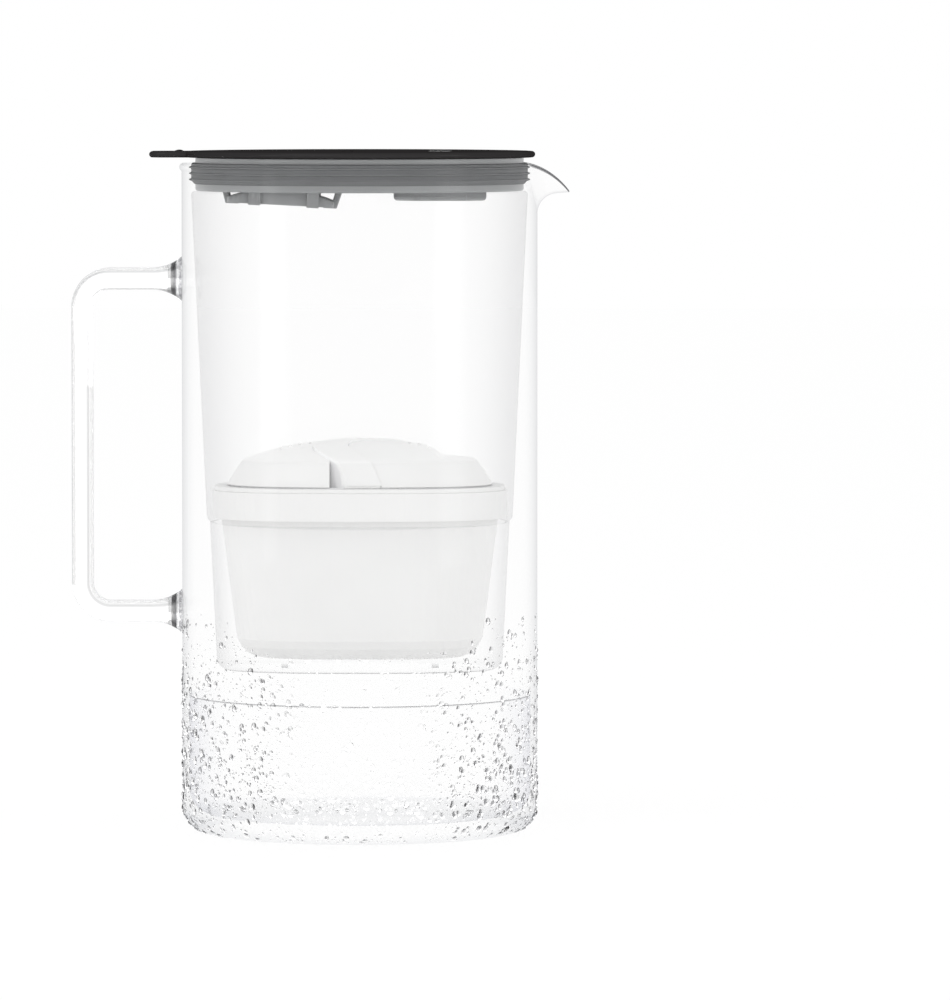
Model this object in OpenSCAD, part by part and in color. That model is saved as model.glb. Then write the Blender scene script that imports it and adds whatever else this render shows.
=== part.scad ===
// Glass water filter pitcher with a hanging hopper, a drop-in filter cartridge
// and a flat round lid whose filling hatch flips up by its thumb tab.
//
// Frame: millimetres, +Z up, origin at the centre of the base's underside,
// +X towards the spout, -X towards the handle.

/* [Jug] */
// Outside diameter of the glass
jug_d = 125; // [112:1:140]
// Height from the base to the rim
jug_h = 235.5; // [215:0.5:260]
// Thickness of the glass wall
jug_wall = 2.4; // [2:0.1:3]
// Thickness of the glass floor
base_t = 6.5; // [5:0.5:9]
// Outer radius where the side turns into the base
base_corner_r = 9.5; // [6:0.5:12]
// Inner radius where the side turns into the floor
base_fillet_r = 8.5; // [5:0.5:12]
// Radius of the fire-polished bead round the rim
rim_bead_r = 1.6; // [1.5:0.1:2]

/* [Spout] */
// How far the tip of the lip stands out from the wall
spout_reach = 11.9; // [10:0.1:14]
// How far the tip of the lip droops below the rim
spout_droop = 7.2; // [5:0.1:9]
// Angle from the middle of the lip to where it dies out in the rim
spout_half_angle = 24; // [20:1:30]
// Radius of the bend under the lip
spout_bend_r = 7; // [6:0.5:8]

/* [Handle] */
// Diameter of the glass rod
handle_rod_d = 7.8; // [7:0.1:10]
// From the wall to the middle of the upright grip
handle_reach = 35; // [32:0.5:42]
// From the rim down to the middle of the upper arm
handle_drop = 40.8; // [34:0.1:48]
// Between the middles of the upper and the lower arm
handle_span = 117; // [100:1:128]
// Bend radius at the two corners, at the middle of the rod
handle_bend_r = 10; // [8:0.5:14]
// Length of the flare that welds each arm to the wall
handle_root_l = 10.5; // [8:0.5:13]
// Radius of the flare's hollow curve
handle_root_curve_r = 14; // [14:0.5:18]

/* [Hopper] */
// Gap between the hopper's shoulder and the glass
hopper_gap = 1; // [0.7:0.1:2]
// Thickness of the hopper's wall and floors
hopper_wall = 1.6; // [1.2:0.1:2]
// Draft of the round tank, degrees
hopper_draft = 2.6; // [1.5:0.1:3.2]
// From the rim down to the seat that the cartridge rests on
hopper_depth = 124.8; // [115:0.1:132]
// How much narrower the neck is than the shoulder
neck_step = 3.4; // [3:0.1:4]
// From the cartridge seat down to the underside of the oval well
well_depth = 53.3; // [48:0.1:58]
// Draft of the oval well, degrees
well_draft = 2.5; // [1.5:0.1:3]
// Diameter of the two outlet holes
outlet_d = 2.4; // [1.5:0.1:4]
// Distance between the two outlet holes
outlet_pitch = 53; // [40:1:60]
// Height of the ribs in the well, under the cartridge
well_rib_h = 2; // [1:0.1:2.2]

/* [Collar] */
// Thickness of the grey ring round the hopper's neck
collar_t = 1.85; // [1.5:0.05:2.1]
// How far the ring stands above the glass rim
collar_proud = 1.65; // [1.2:0.05:3]
// Height of the rubber band on the ring
gasket_h = 7.4; // [6.8:0.1:8.5]
// Depth of the three sealing ribs
gasket_rib = 0.8; // [0.5:0.05:1]
// Distance between sealing ribs
gasket_rib_pitch = 2.15; // [1.8:0.05:2.4]
// Air left between the free ribs and the glass
gasket_gap = 0.2; // [0.1:0.05:0.4]

/* [Cartridge] */
// Width of the cartridge's flange, front to back
cartridge_w = 67; // [60:0.5:74]
// Gap between the ends of the flange and the hopper's wall
flange_gap = 0.4; // [0.3:0.1:1]
// Height of the flange band, with the edge of the cap
flange_h = 11.2; // [9:0.1:13]
// Width of the ledge in the hopper that carries the flange
seat_ledge = 1.7; // [1.4:0.1:2.2]
// Gap between the cup and the mouth of the well
cup_gap = 1.3; // [0.8:0.1:2]
// Draft of the cup, degrees
cup_draft = 6; // [4:0.5:7]
// Radius round the bottom of the cup
cup_corner_r = 10; // [6:0.5:12]
// Gap under the cup, down to the floor of the well
cup_floor_gap = 2.3; // [2.3:0.1:4]
// Wall of the cup and of the cap
cup_wall = 1.2; // [0.8:0.1:1.6]
// Height of the dome above the flange
dome_h = 15; // [12:0.5:18]
// Width of the S-shaped grip that crosses the dome
grip_w = 12; // [9:0.5:14]
// How far the grip stands out of the dome
grip_h = 0.9; // [0.5:0.1:1.5]

/* [Lid] */
// Thickness of the black plate
lid_t = 2.2; // [2:0.1:3]
// How much smaller than the glass the plate's radius is
lid_inset = 0.8; // [0:0.1:2]
// How far the thumb tab reaches past the plate
tab_reach = 12; // [9:0.5:16]
// Width of the thumb tab
tab_w = 22; // [16:1:30]
// Width of the flip hatch
hatch_w = 46; // [44:1:52]
// Gap round the hatch
hatch_gap = 0.35; // [0.25:0.05:0.6]
// From the middle of the lid back to the hatch's hinge
hinge_back = 4; // [3:0.5:6]
// Diameter of the hinge pin
pin_d = 1.5; // [1.2:0.1:1.8]
// Diameter of the hinge knuckles
knuckle_d = 3.2; // [3:0.1:3.6]
// Thickness of the grey frame under the plate
frame_t = 1.6; // [1.4:0.1:2]
// Depth of the frame's skirt in the hopper's neck
skirt_h = 6; // [4:0.5:8]

/* [Splash guard] */
// From the guard's outer arm to the edge of the frame
guard_margin = 4.7; // [4:0.1:8]
// Width of the domed plate, front to back
guard_w = 34; // [30:1:35]
// How far the guard hangs below the lid plate
guard_drop = 17.4; // [16:0.1:20]
// Slope of the guard towards the spout, degrees
guard_slope = 3; // [0:0.5:4]
// Rise of the domed plate
guard_rise = 5; // [4:0.5:6]
// Width of the four straps
strap_w = 4.2; // [3:0.1:6]

/* [Filter timer] */
// Length of the timer's housing
timer_l = 32.5; // [30:0.5:36]
// From the timer's outer end to the edge of the frame
timer_margin = 9.05; // [8:0.05:10]
// Width of the timer's housing
timer_w = 34; // [32:1:38]
// Height of the housing below the lid plate
timer_h = 15.1; // [14.5:0.1:19]
// Corners cut off the housing
timer_chamfer = 7; // [5:0.5:8]
// Diameter of the coin cell
cell_d = 20; // [19:0.5:20.5]
// Thickness of the coin cell
cell_t = 3.2; // [2.5:0.1:3.4]
// Diameter of the reset button
button_d = 7.9; // [6:0.1:10]
// Travel of the reset button
button_travel = 0.8; // [0.5:0.1:1]

/* [Hidden] */
$fn = 96;

big = 400;              // longer than anything here, for cuts that run right through
slip = 0.1;             // between two fixed pieces that slide together
lift_gap = 0.15;        // under a piece that rests on one that stays behind
oval_sides = 56;        // sides of the oval pieces
oval_power = 2.6;       // 2 is an ellipse, more is squarer

// Jug
jug_r = jug_d / 2;
glass_r = jug_r - jug_wall;

// Hopper, from the glass inwards
shoulder_r = glass_r - hopper_gap;
neck_r = shoulder_r - neck_step;
neck_bore_r = neck_r - hopper_wall;
shoulder_drop = 9.9;                        // from the rim down to the top of the shoulder
shoulder_z = jug_h - shoulder_drop;
shoulder_round = 1.4;
seat_z = jug_h - hopper_depth;
tank_floor_r = shoulder_r - (shoulder_z - seat_z) * tan(hopper_draft);
well_z = seat_z - well_depth;
well_floor_z = well_z + hopper_wall + 0.2;
well_corner_r = 4;

// Cartridge, from the hopper inwards
flange_a = tank_floor_r - hopper_wall - flange_gap;
flange_b = cartridge_w / 2;
mouth_a = flange_a - seat_ledge;
mouth_b = flange_b - seat_ledge;
flange_z = seat_z + 0.2;
cap_z = flange_z + flange_h;
cap_edge_t = 1.5;
cup_a = mouth_a - cup_gap;
cup_b = mouth_b - cup_gap;
cup_z = well_floor_z + cup_floor_gap;
cup_h = flange_z - cup_z;
seal_t = 1.2;
screen_t = 0.8;

// Collar and gasket
collar_r = neck_r + slip + collar_t;
collar_top_z = jug_h + collar_proud;
rib_tip_r = glass_r - gasket_gap;
band_r = rib_tip_r - gasket_rib;
gasket_top_z = jug_h - 0.1;

// Lid
lid_r = jug_r - lid_inset;
lid_z = collar_top_z + lift_gap;
lid_top_z = lid_z + lid_t;
knuckle_r = knuckle_d / 2;
pin_r = pin_d / 2;
hinge_x = -hinge_back;
hinge_z = lid_top_z - knuckle_r;
hinge_half = hatch_w / 2 - 2;               // outer ends of the knuckles
knuckle_split = hinge_half - 6;             // where the lid's knuckles begin
knuckle_gap = 0.2;
plate_edge_x = hinge_x + knuckle_r + 0.25;  // the plate stops the hatch here, past upright
hatch_edge_x = hinge_x - knuckle_r - 0.3;
frame_r = neck_bore_r - 0.5;
frame_z = lid_z - frame_t;
fill_margin = 8;                            // from the filling opening to the frame's edge
fill_set = 4;                               // from the hinge's knuckles to the opening
fill_l = frame_r - fill_margin - hinge_back - knuckle_r - fill_set;
fill_w = 34;
fill_x = hinge_x - knuckle_r - fill_set - fill_l / 2;
fill_corner_r = 6;

// Splash guard, hung under the filling opening
guard_set = 2.1;                            // from the hinge's axis to the guard's inner arm
guard_l = frame_r - guard_margin - hinge_back - guard_set;
guard_x = hinge_x - guard_set - guard_l / 2;
guard_z = lid_z - guard_drop;               // underside, at the guard's middle
guard_t = 1.4;
arm_t = 1.8;
plate_l = guard_l - 2 * arm_t - 0.4;
strap_xs = [-0.255 * guard_l, 0.264 * guard_l];

// Filter timer
timer_x = frame_r - timer_margin - timer_l / 2;
timer_z = lid_z - timer_h;
timer_wall = 1.4;
timer_floor_t = 2.4;
timer_round = 1.4;
cover_r = cell_d / 2 + 2.6;
cover_hole_r = cell_d / 2 + 1.2;
cover_boss_r = cover_hole_r - 0.3;
cover_flange_t = 1;
boss_top_z = timer_z + timer_floor_t + 0.7;
clip_t = 0.3;
cell_z = boss_top_z + clip_t + 0.1;
board_z = cell_z + cell_t + 1;
board_t = 1.2;
switch_h = 2;
switch_w = 6;
window_y = -7;
window_r = 4;
window_t = 1.2;
button_y = 7;
button_r = button_d / 2;
button_proud = 0.3;
button_flange_t = 0.9;
stem_z = board_z + board_t + switch_h + button_travel + 0.1;

// ---------- shapes that repeat ----------

// One ring of an oval: half-length a along X, half-width b along Y, height z
function oval(a, b, z) = [
    for (i = [0 : oval_sides - 1])
        let (t = 360 * i / oval_sides, c = cos(t), s = sin(t), e = 2 / oval_power)
        [a * sign(c) * pow(abs(c), e), b * sign(s) * pow(abs(s), e), z]
];

// Rings of an oval floor that turns up through a round corner
function oval_floor(a, b, z, r, steps = 5) = [
    for (i = [0 : steps])
        let (t = 90 * i / steps)
        oval(a - r * (1 - sin(t)), b - r * (1 - sin(t)), z + r * (1 - cos(t)))
];

// Rectangle with its corners cut off, as a ring at height z
function cut_rectangle(l, w, cut, z) = [
    [l / 2 - cut, -w / 2, z], [l / 2, cut - w / 2, z], [l / 2, w / 2 - cut, z],
    [l / 2 - cut, w / 2, z], [cut - l / 2, w / 2, z], [-l / 2, w / 2 - cut, z],
    [-l / 2, cut - w / 2, z], [cut - l / 2, -w / 2, z]
];

// Solid through rings that all have the same number of points. Its two ends are flat faces,
// or strips across from one half of the ring to the other where a ring doubles back on itself.
module loft(rings, end_strips = false) {
    n = len(rings[0]);
    last = len(rings) - 1;
    half = floor((n - 1) / 2);
    end = end_strips
        ? [for (i = [0 : half - 1]) each [[i, n - 2 - i, n - 1 - i], if (i + 1 < n - 2 - i) [i, i + 1, n - 2 - i]]]
        : [[for (i = [0 : n - 1]) i]];
    polyhedron(
        points = [for (ring = rings) each ring],
        faces = [
            each end,
            for (k = [0 : last - 1], i = [0 : n - 1])
                let (j = (i + 1) % n)
                each [[k * n + i, k * n + n + j, k * n + j], [k * n + i, k * n + n + i, k * n + n + j]],
            for (face = end) [for (i = [len(face) - 1 : -1 : 0]) last * n + face[i]]
        ],
        convexity = 6
    );
}

// Plain oval plate
module oval_plate(a, b, z, t) {
    translate([0, 0, z])
        linear_extrude(t)
            polygon([for (p = oval(a, b, 0)) [p.x, p.y]]);
}

// Rectangle in plan with round corners
module round_rect(l, w, r) {
    union() {
        square([l - 2 * r, w], center = true);
        square([l, w - 2 * r], center = true);
        for (x = [-1, 1], y = [-1, 1])
            translate([x * (l / 2 - r), y * (w / 2 - r)]) circle(r);
    }
}

// Flat disc with a half-round edge
module soft_disc(r, t) {
    rotate_extrude()
        union() {
            square([r - t / 2, t]);
            intersection() {
                translate([r - t / 2, t / 2]) circle(t / 2);
                translate([r - t, 0]) square([t, t]);
            }
        }
}

// Rod along Y, from y0 to y1
module rod_y(r, y0, y1) {
    translate([0, y0, 0]) rotate([-90, 0, 0]) cylinder(r = r, h = y1 - y0);
}

// Box between two corners
module box(low, high) {
    translate(low) cube(high - low);
}

// ---------- jug ----------

lip_h = jug_wall / 2;                       // half the thickness of the glass
lip_r = jug_r - lip_h;                      // radius at the middle of the glass
lip_rho = spout_bend_r + lip_h;             // bend radius at the middle of the glass
lip_alpha = 88;                             // how far the lip bends out at its tip
lip_run = (spout_reach - lip_rho * (1 - cos(lip_alpha))) / sin(lip_alpha);
lip_foot_z = jug_h - spout_droop - lip_rho - 6.5;
lip_steps = 24;
lip_samples = 14;
weld_skin = 0.02;                           // the lip is thinner than the wall by this, each side
weld_depth = 0.5;                           // how far the lip runs on inside the wall

// Strength of the spout at an angle from its middle: 1 there, 0 at its ends
function lip_g(t) = abs(t) > spout_half_angle ? 0 : pow(cos(90 * t / spout_half_angle), 2);
function lip_bend(g) = lip_alpha * pow(g, 0.6);
function lip_bead(g) = rim_bead_r + (lip_h - rim_bead_r) * g;
function lip_end_z(g) = jug_h - spout_droop * g - lip_bead(g);
function lip_bend_z(g) = lip_end_z(g) - lip_rho * sin(lip_bend(g)) - lip_run * g * cos(lip_bend(g));
function lip_arc(g) = lip_rho * lip_bend(g) * PI / 180;
function lip_straight(g) = lip_bend_z(g) - lip_foot_z;
function lip_length(g) = lip_straight(g) + lip_arc(g) + lip_run * g;

// Directions across the glass, outwards, and along it, upwards, where it has turned by angle a
function lip_out(a) = [cos(a), -sin(a)];
function lip_along(a) = [sin(a), cos(a)];

// Point of the glass, s along its middle line from the foot and off to its outer side
function lip_point(g, s, off) =
    let (
        turned = min(max(s - lip_straight(g), 0), lip_arc(g)) / lip_rho * 180 / PI,
        run = max(s - lip_straight(g) - lip_arc(g), 0),
        rise = min(s, lip_straight(g))
    )
    [lip_r + lip_rho * (1 - cos(turned)), lip_foot_z + rise + lip_rho * sin(turned)]
    + run * lip_along(turned) + off * lip_out(turned);

// Section of the wall and its lip, in radius and height
function lip_section(g) =
    let (
        bead = lip_bead(g), top = lip_length(g), bend = lip_bend(g), skin = lip_h - weld_skin,
        low = -acos(min(1, 2 * lip_h / bead - 1)),
        neck = top + bead * sin(low)
    )
    [
        for (i = [0 : lip_samples - 1]) lip_point(g, neck * i / lip_samples, skin),
        for (i = [0 : 8])
            let (t = low + (180 - low) * i / 8)
            lip_point(g, top, bead - lip_h)
            + (bead - weld_skin) * (cos(t) * lip_out(bend) + sin(t) * lip_along(bend)),
        for (i = [lip_samples - 1 : -1 : 0]) lip_point(g, top * i / lip_samples, -skin)
    ];

// A section placed at angle t round the jug
function at_angle(section, t) = [for (p = section) [p.x * cos(t), p.x * sin(t), p.y]];

module lip_solid() {
    past = spout_half_angle + weld_depth;
    loft([
        at_angle(lip_section(0), past),
        for (i = [0 : lip_steps])
            let (t = spout_half_angle * (1 - 2 * i / lip_steps))
            at_angle(lip_section(lip_g(t)), t),
        at_angle(lip_section(0), -past)
    ], end_strips = true);
}

module jug_profile() {
    difference() {
        union() {
            square([jug_r - base_corner_r, jug_h - rim_bead_r]);
            translate([0, base_corner_r]) square([jug_r, jug_h - rim_bead_r - base_corner_r]);
            translate([jug_r - base_corner_r, base_corner_r]) circle(base_corner_r);
            translate([glass_r + rim_bead_r, jug_h - rim_bead_r]) circle(rim_bead_r);
        }
        translate([0, base_t]) square([glass_r - base_fillet_r, jug_h]);
        translate([0, base_t + base_fillet_r]) square([glass_r, jug_h]);
        translate([glass_r - base_fillet_r, base_t + base_fillet_r]) circle(base_fillet_r);
    }
}

module jug_body() {
    side = big * [cos(spout_half_angle), sin(spout_half_angle)];
    color([0.86, 0.92, 0.93, 0.4])
        union() {
            difference() {
                rotate_extrude() jug_profile();
                translate([0, 0, lip_foot_z + weld_depth])
                    linear_extrude(big) polygon([[0, 0], [side.x, -side.y], side]);
            }
            lip_solid();
        }
}

// Arm of the handle from the wall to the corner's centre plane, along -X
module handle_arm() {
    rod_r = handle_rod_d / 2;
    root_r = rod_r + handle_root_curve_r - sqrt(pow(handle_root_curve_r, 2) - pow(handle_root_l, 2));
    rotate([0, -90, 0]) {
        translate([0, 0, jug_r - 4]) cylinder(r = rod_r, h = handle_reach + 4 - handle_bend_r);
        translate([0, 0, jug_r])
            rotate_extrude()
                difference() {
                    square([root_r, handle_root_l]);
                    translate([rod_r + handle_root_curve_r, handle_root_l]) circle(handle_root_curve_r);
                }
        translate([0, 0, jug_r - 4]) cylinder(r = root_r, h = 4);
    }
}

module jug_handle() {
    top_z = jug_h - handle_drop;
    low_z = top_z - handle_span;
    corner_x = -(jug_r + handle_reach - handle_bend_r);
    color([0.86, 0.92, 0.93, 0.4])
        difference() {
            union() {
                translate([0, 0, top_z]) handle_arm();
                translate([0, 0, low_z]) handle_arm();
                translate([-(jug_r + handle_reach), 0, low_z + handle_bend_r])
                    cylinder(d = handle_rod_d, h = handle_span - 2 * handle_bend_r);
                translate([corner_x, 0, top_z - handle_bend_r])
                    rotate([90, 0, 0]) rotate([0, 0, 90])
                        rotate_extrude(angle = 90) translate([handle_bend_r, 0]) circle(d = handle_rod_d);
                translate([corner_x, 0, low_z + handle_bend_r])
                    rotate([90, 0, 0]) rotate([0, 0, 180])
                        rotate_extrude(angle = 90) translate([handle_bend_r, 0]) circle(d = handle_rod_d);
            }
            cylinder(r = jug_r, h = big);
        }
}

// ---------- hopper ----------

module tank_profile() {
    difference() {
        union() {
            translate([0, shoulder_z - 2]) square([neck_r, collar_top_z - shoulder_z + 2 - 0.6]);
            polygon([
                [0, seat_z - hopper_wall], [tank_floor_r - 3, seat_z - hopper_wall],
                [tank_floor_r - 0.9, seat_z - hopper_wall + 0.9], [tank_floor_r, seat_z + 1.6],
                [shoulder_r, shoulder_z - shoulder_round], [shoulder_r - shoulder_round, shoulder_z],
                [0, shoulder_z]
            ]);
        }
        polygon([
            [0, seat_z], [tank_floor_r - hopper_wall, seat_z],
            [shoulder_r - hopper_wall, shoulder_z - hopper_wall - 2.5],
            [neck_bore_r, shoulder_z - hopper_wall], [neck_bore_r, big], [0, big]
        ]);
    }
}

module hopper_tank() {
    drop = seat_z - well_z;
    outer_a = mouth_a + hopper_wall + 0.9;
    outer_b = mouth_b + hopper_wall;
    lean = tan(well_draft);
    low_a = outer_a - drop * lean;
    low_b = outer_b - drop * lean;
    in_drop = seat_z - well_floor_z;
    in_a = mouth_a - in_drop * lean;
    in_b = mouth_b - in_drop * lean;
    color([0.94, 0.96, 0.97, 0.35])
        difference() {
            union() {
                rotate_extrude() tank_profile();
                loft(concat(oval_floor(low_a, low_b, well_z, well_corner_r),
                            [oval(outer_a, outer_b, seat_z - hopper_wall / 2)]));
            }
            loft(concat(oval_floor(in_a, in_b, well_floor_z, well_corner_r - 1.6),
                        [oval(mouth_a, mouth_b, seat_z + 0.02)]));
            for (x = [-1, 1])
                translate([x * outlet_pitch / 2, 0, well_z - 1]) cylinder(d = outlet_d, h = hopper_wall + 3);
        }
    // ribs on the well's floor, clear of the outlets
    color([0.94, 0.96, 0.97, 0.35])
        for (x = [-1, 1])
            translate([x * outlet_pitch / 4, 0, well_floor_z + well_rib_h / 2 - 0.05])
                cube([hopper_wall, cartridge_w / 2, well_rib_h + 0.1], center = true);
}

module collar_ring() {
    color([0.44, 0.45, 0.46])
        rotate_extrude()
            difference() {
                translate([neck_r + slip, shoulder_z]) square([collar_t, collar_top_z - shoulder_z]);
                translate([collar_r, shoulder_z]) rotate(45) square(0.8, center = true);
            }
}

module collar_gasket() {
    low_z = gasket_top_z - gasket_h;
    rib_z = gasket_top_z - gasket_h / 2;
    color([0.46, 0.47, 0.49])
        rotate_extrude()
            union() {
                polygon([
                    [collar_r + 0.02, low_z], [collar_r + 0.3, low_z], [band_r, low_z + 1.2],
                    [band_r, gasket_top_z - 0.4], [band_r - 0.4, gasket_top_z], [collar_r + 0.02, gasket_top_z]
                ]);
                for (k = [-1, 0, 1])
                    polygon([
                        [band_r - 0.3, rib_z + k * gasket_rib_pitch - 0.6],
                        [rib_tip_r, rib_z + k * gasket_rib_pitch - 0.15],
                        [rib_tip_r, rib_z + k * gasket_rib_pitch + 0.15],
                        [band_r - 0.3, rib_z + k * gasket_rib_pitch + 0.6]
                    ]);
            }
}

// ---------- cartridge ----------

cup_lean = tan(cup_draft);
cup_low_a = cup_a - cup_h * cup_lean;
cup_low_b = cup_b - cup_h * cup_lean;
band_top_z = cap_z - cap_edge_t;

module cartridge_cup() {
    floor_t = cup_wall + 0.4;
    color([0.93, 0.93, 0.92])
        difference() {
            union() {
                loft(concat(oval_floor(cup_low_a, cup_low_b, cup_z, cup_corner_r),
                            [oval(cup_a, cup_b, flange_z + 1)]));
                oval_plate(flange_a, flange_b, flange_z, band_top_z - flange_z);
            }
            loft(concat(oval_floor(cup_low_a - cup_wall, cup_low_b - cup_wall, cup_z + floor_t,
                                   cup_corner_r - cup_wall),
                        [oval(cup_a - cup_wall, cup_b - cup_wall, flange_z),
                         oval(cup_a - cup_wall, cup_b - cup_wall, cap_z)]));
            // groove for the seal
            difference() {
                oval_plate(flange_a - 0.4, flange_b - 0.4, flange_z - 1, 1 + seal_t);
                oval_plate(flange_a - 1.4, flange_b - 1.4, flange_z - 2, 3 + seal_t);
            }
            // outlet slots
            for (x = [-5 : 5], y = [-1, 1])
                translate([x * 5, y * cup_low_b / 4, cup_z])
                    cube([1.2, cup_low_b / 3, 4 * floor_t], center = true);
        }
}

// The dome's outline, as a share of its foot and of its height
dome_steps = [
    [1, 0], [0.975, 0.16], [0.925, 0.36], [0.865, 0.55], [0.75, 0.72], [0.58, 0.86], [0.36, 0.96], [0.12, 1]
];
dome_a = flange_a - 5.3;
dome_b = flange_b - 4.5;

function dome_rings(grow) = [
    oval(dome_a + grow, dome_b + grow, cap_z - cap_edge_t / 2),
    for (s = dome_steps) oval(s.x * dome_a + grow, s.x * dome_b + grow, cap_z + s.y * dome_h + grow)
];

// Middle line of the S-shaped grip, and the band round it
grip_sway = 10;                             // how far the S swings to each side
function grip_x(y) = grip_sway * sin(190 * y / dome_b);
module grip_band(w, shift = 0) {
    ys = [for (i = [-14 : 14]) i * (dome_b + 2) / 14];
    linear_extrude(big)
        polygon(concat([for (y = ys) [grip_x(y) - w / 2 + shift, y]],
                       [for (i = [len(ys) - 1 : -1 : 0]) [grip_x(ys[i]) + w / 2 + shift, ys[i]]]));
}

module cartridge_cap() {
    notch_w = 20;
    color([0.94, 0.94, 0.93])
        difference() {
            union() {
                oval_plate(flange_a - 0.9, flange_b - 0.9, band_top_z, cap_edge_t);
                difference() {
                    loft(dome_rings(0));
                    // thumb notches beside the two feet of the grip
                    for (turn = [0, 180])
                        rotate([0, 0, turn])
                            difference() {
                                box([-grip_w / 2 - 4.2, -flange_b, cap_z],
                                    [-grip_w / 2 - 4.2 + notch_w, -dome_b * 0.55, cap_z + big / 8]);
                                translate([notch_w / 2, 0, 0]) grip_band(grip_w + notch_w);
                            }
                }
                intersection() {
                    loft(dome_rings(grip_h));
                    grip_band(grip_w);
                }
            }
            // the hollow underneath
            loft(concat([oval(dome_a - 2 * cup_wall, dome_b - 2 * cup_wall, band_top_z - 1),
                         oval(dome_a - 2 * cup_wall, dome_b - 2 * cup_wall, cap_z - 0.1)],
                        [for (s = dome_steps)
                            oval(s.x * dome_a * 0.72, s.x * dome_b * 0.42, cap_z + s.y * (dome_h - cup_wall) - 0.08)]));
            // inlet slots
            for (side = [-1, 1], k = [-2 : 2])
                translate([side * dome_a * (0.52 + k * 0.073), 0, cap_z + dome_h / 2])
                    cube([0.024 * dome_a, 0.45 * dome_b, big / 8], center = true);
        }
}

module cartridge_seal() {
    color([0.97, 0.97, 0.96])
        difference() {
            oval_plate(flange_a - 0.5, flange_b - 0.5, flange_z - 0.1, seal_t);
            oval_plate(flange_a - 1.3, flange_b - 1.3, flange_z - 1, seal_t + 2);
        }
}

module inlet_screen() {
    color([0.9, 0.92, 0.94])
        oval_plate(cup_a - cup_wall - 0.2, cup_b - cup_wall - 0.2, band_top_z - screen_t - 0.6, screen_t);
}

module outlet_screen() {
    color([0.9, 0.92, 0.94])
        oval_plate(cup_low_a - cup_corner_r, cup_low_b - cup_corner_r,
                   cup_z + cup_wall + 0.45, screen_t);
}

module filter_media() {
    low = cup_wall + 0.15;
    color([0.25, 0.25, 0.26])
        loft(concat(oval_floor(cup_low_a - low, cup_low_b - low, cup_z + cup_wall + screen_t + 0.5,
                               cup_corner_r - cup_wall + 0.6),
                    [oval(cup_a - low - 0.2, cup_b - low - 0.2, band_top_z - screen_t - 4)]));
}

// ---------- lid ----------

// The gap in the plate that the hatch fills
module hatch_bay() {
    box([-big, -hatch_w / 2 - hatch_gap, lid_z - 5], [plate_edge_x, hatch_w / 2 + hatch_gap, lid_top_z + 5]);
}

module lid_plate() {
    color([0.11, 0.11, 0.11])
        difference() {
            union() {
                difference() {
                    translate([0, 0, lid_z]) soft_disc(lid_r, lid_t);
                    hatch_bay();
                }
                for (side = [-1, 1])
                    mirror([0, side > 0 ? 0 : 1, 0]) {
                        translate([hinge_x, 0, hinge_z]) rod_y(knuckle_r, knuckle_split, hinge_half);
                        box([hinge_x, knuckle_split, hinge_z - 0.4], [plate_edge_x + 0.5, hinge_half, lid_top_z]);
                    }
            }
            translate([hinge_x, 0, hinge_z]) rod_y(pin_r + 0.02, -hatch_w, hatch_w);
            translate([timer_x, window_y, lid_z - 1]) cylinder(r = window_r - 0.8, h = lid_t + 2);
            translate([timer_x, window_y, lid_top_z - window_t]) cylinder(r = window_r + 0.05, h = lid_t);
            translate([timer_x, button_y, lid_z - 1]) cylinder(r = button_r + 0.2, h = lid_t + 2);
        }
}

module hinge_pin() {
    color([0.75, 0.75, 0.77])
        translate([hinge_x, 0, hinge_z]) rod_y(pin_r, 0.3 - hinge_half, hinge_half - 0.3);
}

// Thumb tab: a slab with half-round edges, running from x0 out to x1
module thumb_tab(x0, x1, w, t, r) {
    edge = t / 2;
    flat_w = w / 2 - edge;
    linear_extrude(t)
        union() {
            translate([x1 + r, -flat_w]) square([x0 - x1 - r, 2 * flat_w]);
            translate([x1 + edge, -w / 2 + r]) square([r, w - 2 * r]);
            for (side = [-1, 1]) translate([x1 + r, side * (w / 2 - r)]) circle(r - edge);
        }
    translate([x1 + edge, 0, edge]) rod_y(edge, r - w / 2, w / 2 - r);
    for (side = [-1, 1]) {
        translate([x1 + r, side * flat_w, edge]) rotate([0, 90, 0]) cylinder(r = edge, h = x0 - x1 - r);
        translate([x1 + r, side * (w / 2 - r), edge])
            rotate([0, 0, side > 0 ? 90 : 180])
                rotate_extrude(angle = 90) translate([r - edge, 0]) circle(edge);
    }
}

module flip_hatch() {
    inner = knuckle_split - knuckle_gap;
    ridge_r = 3;
    color([0.11, 0.11, 0.11])
        difference() {
            union() {
                intersection() {
                    translate([0, 0, lid_z]) soft_disc(lid_r, lid_t);
                    box([-big, -hatch_w / 2, lid_z - 1], [hatch_edge_x, hatch_w / 2, lid_top_z + 1]);
                }
                box([hatch_edge_x - 0.5, -inner, lid_z], [hinge_x, inner, lid_top_z]);
                translate([hinge_x, 0, hinge_z]) rod_y(knuckle_r, -inner, inner);
                translate([0, 0, lid_z]) thumb_tab(-lid_r + 5, -lid_r - tab_reach, tab_w, lid_t, 6);
                // ridge for the thumb
                intersection() {
                    translate([-lid_r - 1.8, 0, lid_top_z - ridge_r + 0.45]) rod_y(ridge_r, 5 - tab_w / 2, tab_w / 2 - 5);
                    box([-big, -tab_w, lid_z + lid_t / 2], [0, tab_w, lid_top_z + 5]);
                }
            }
            translate([hinge_x, 0, hinge_z]) rod_y(pin_r + 0.06, -hatch_w, hatch_w);
        }
}

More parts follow.
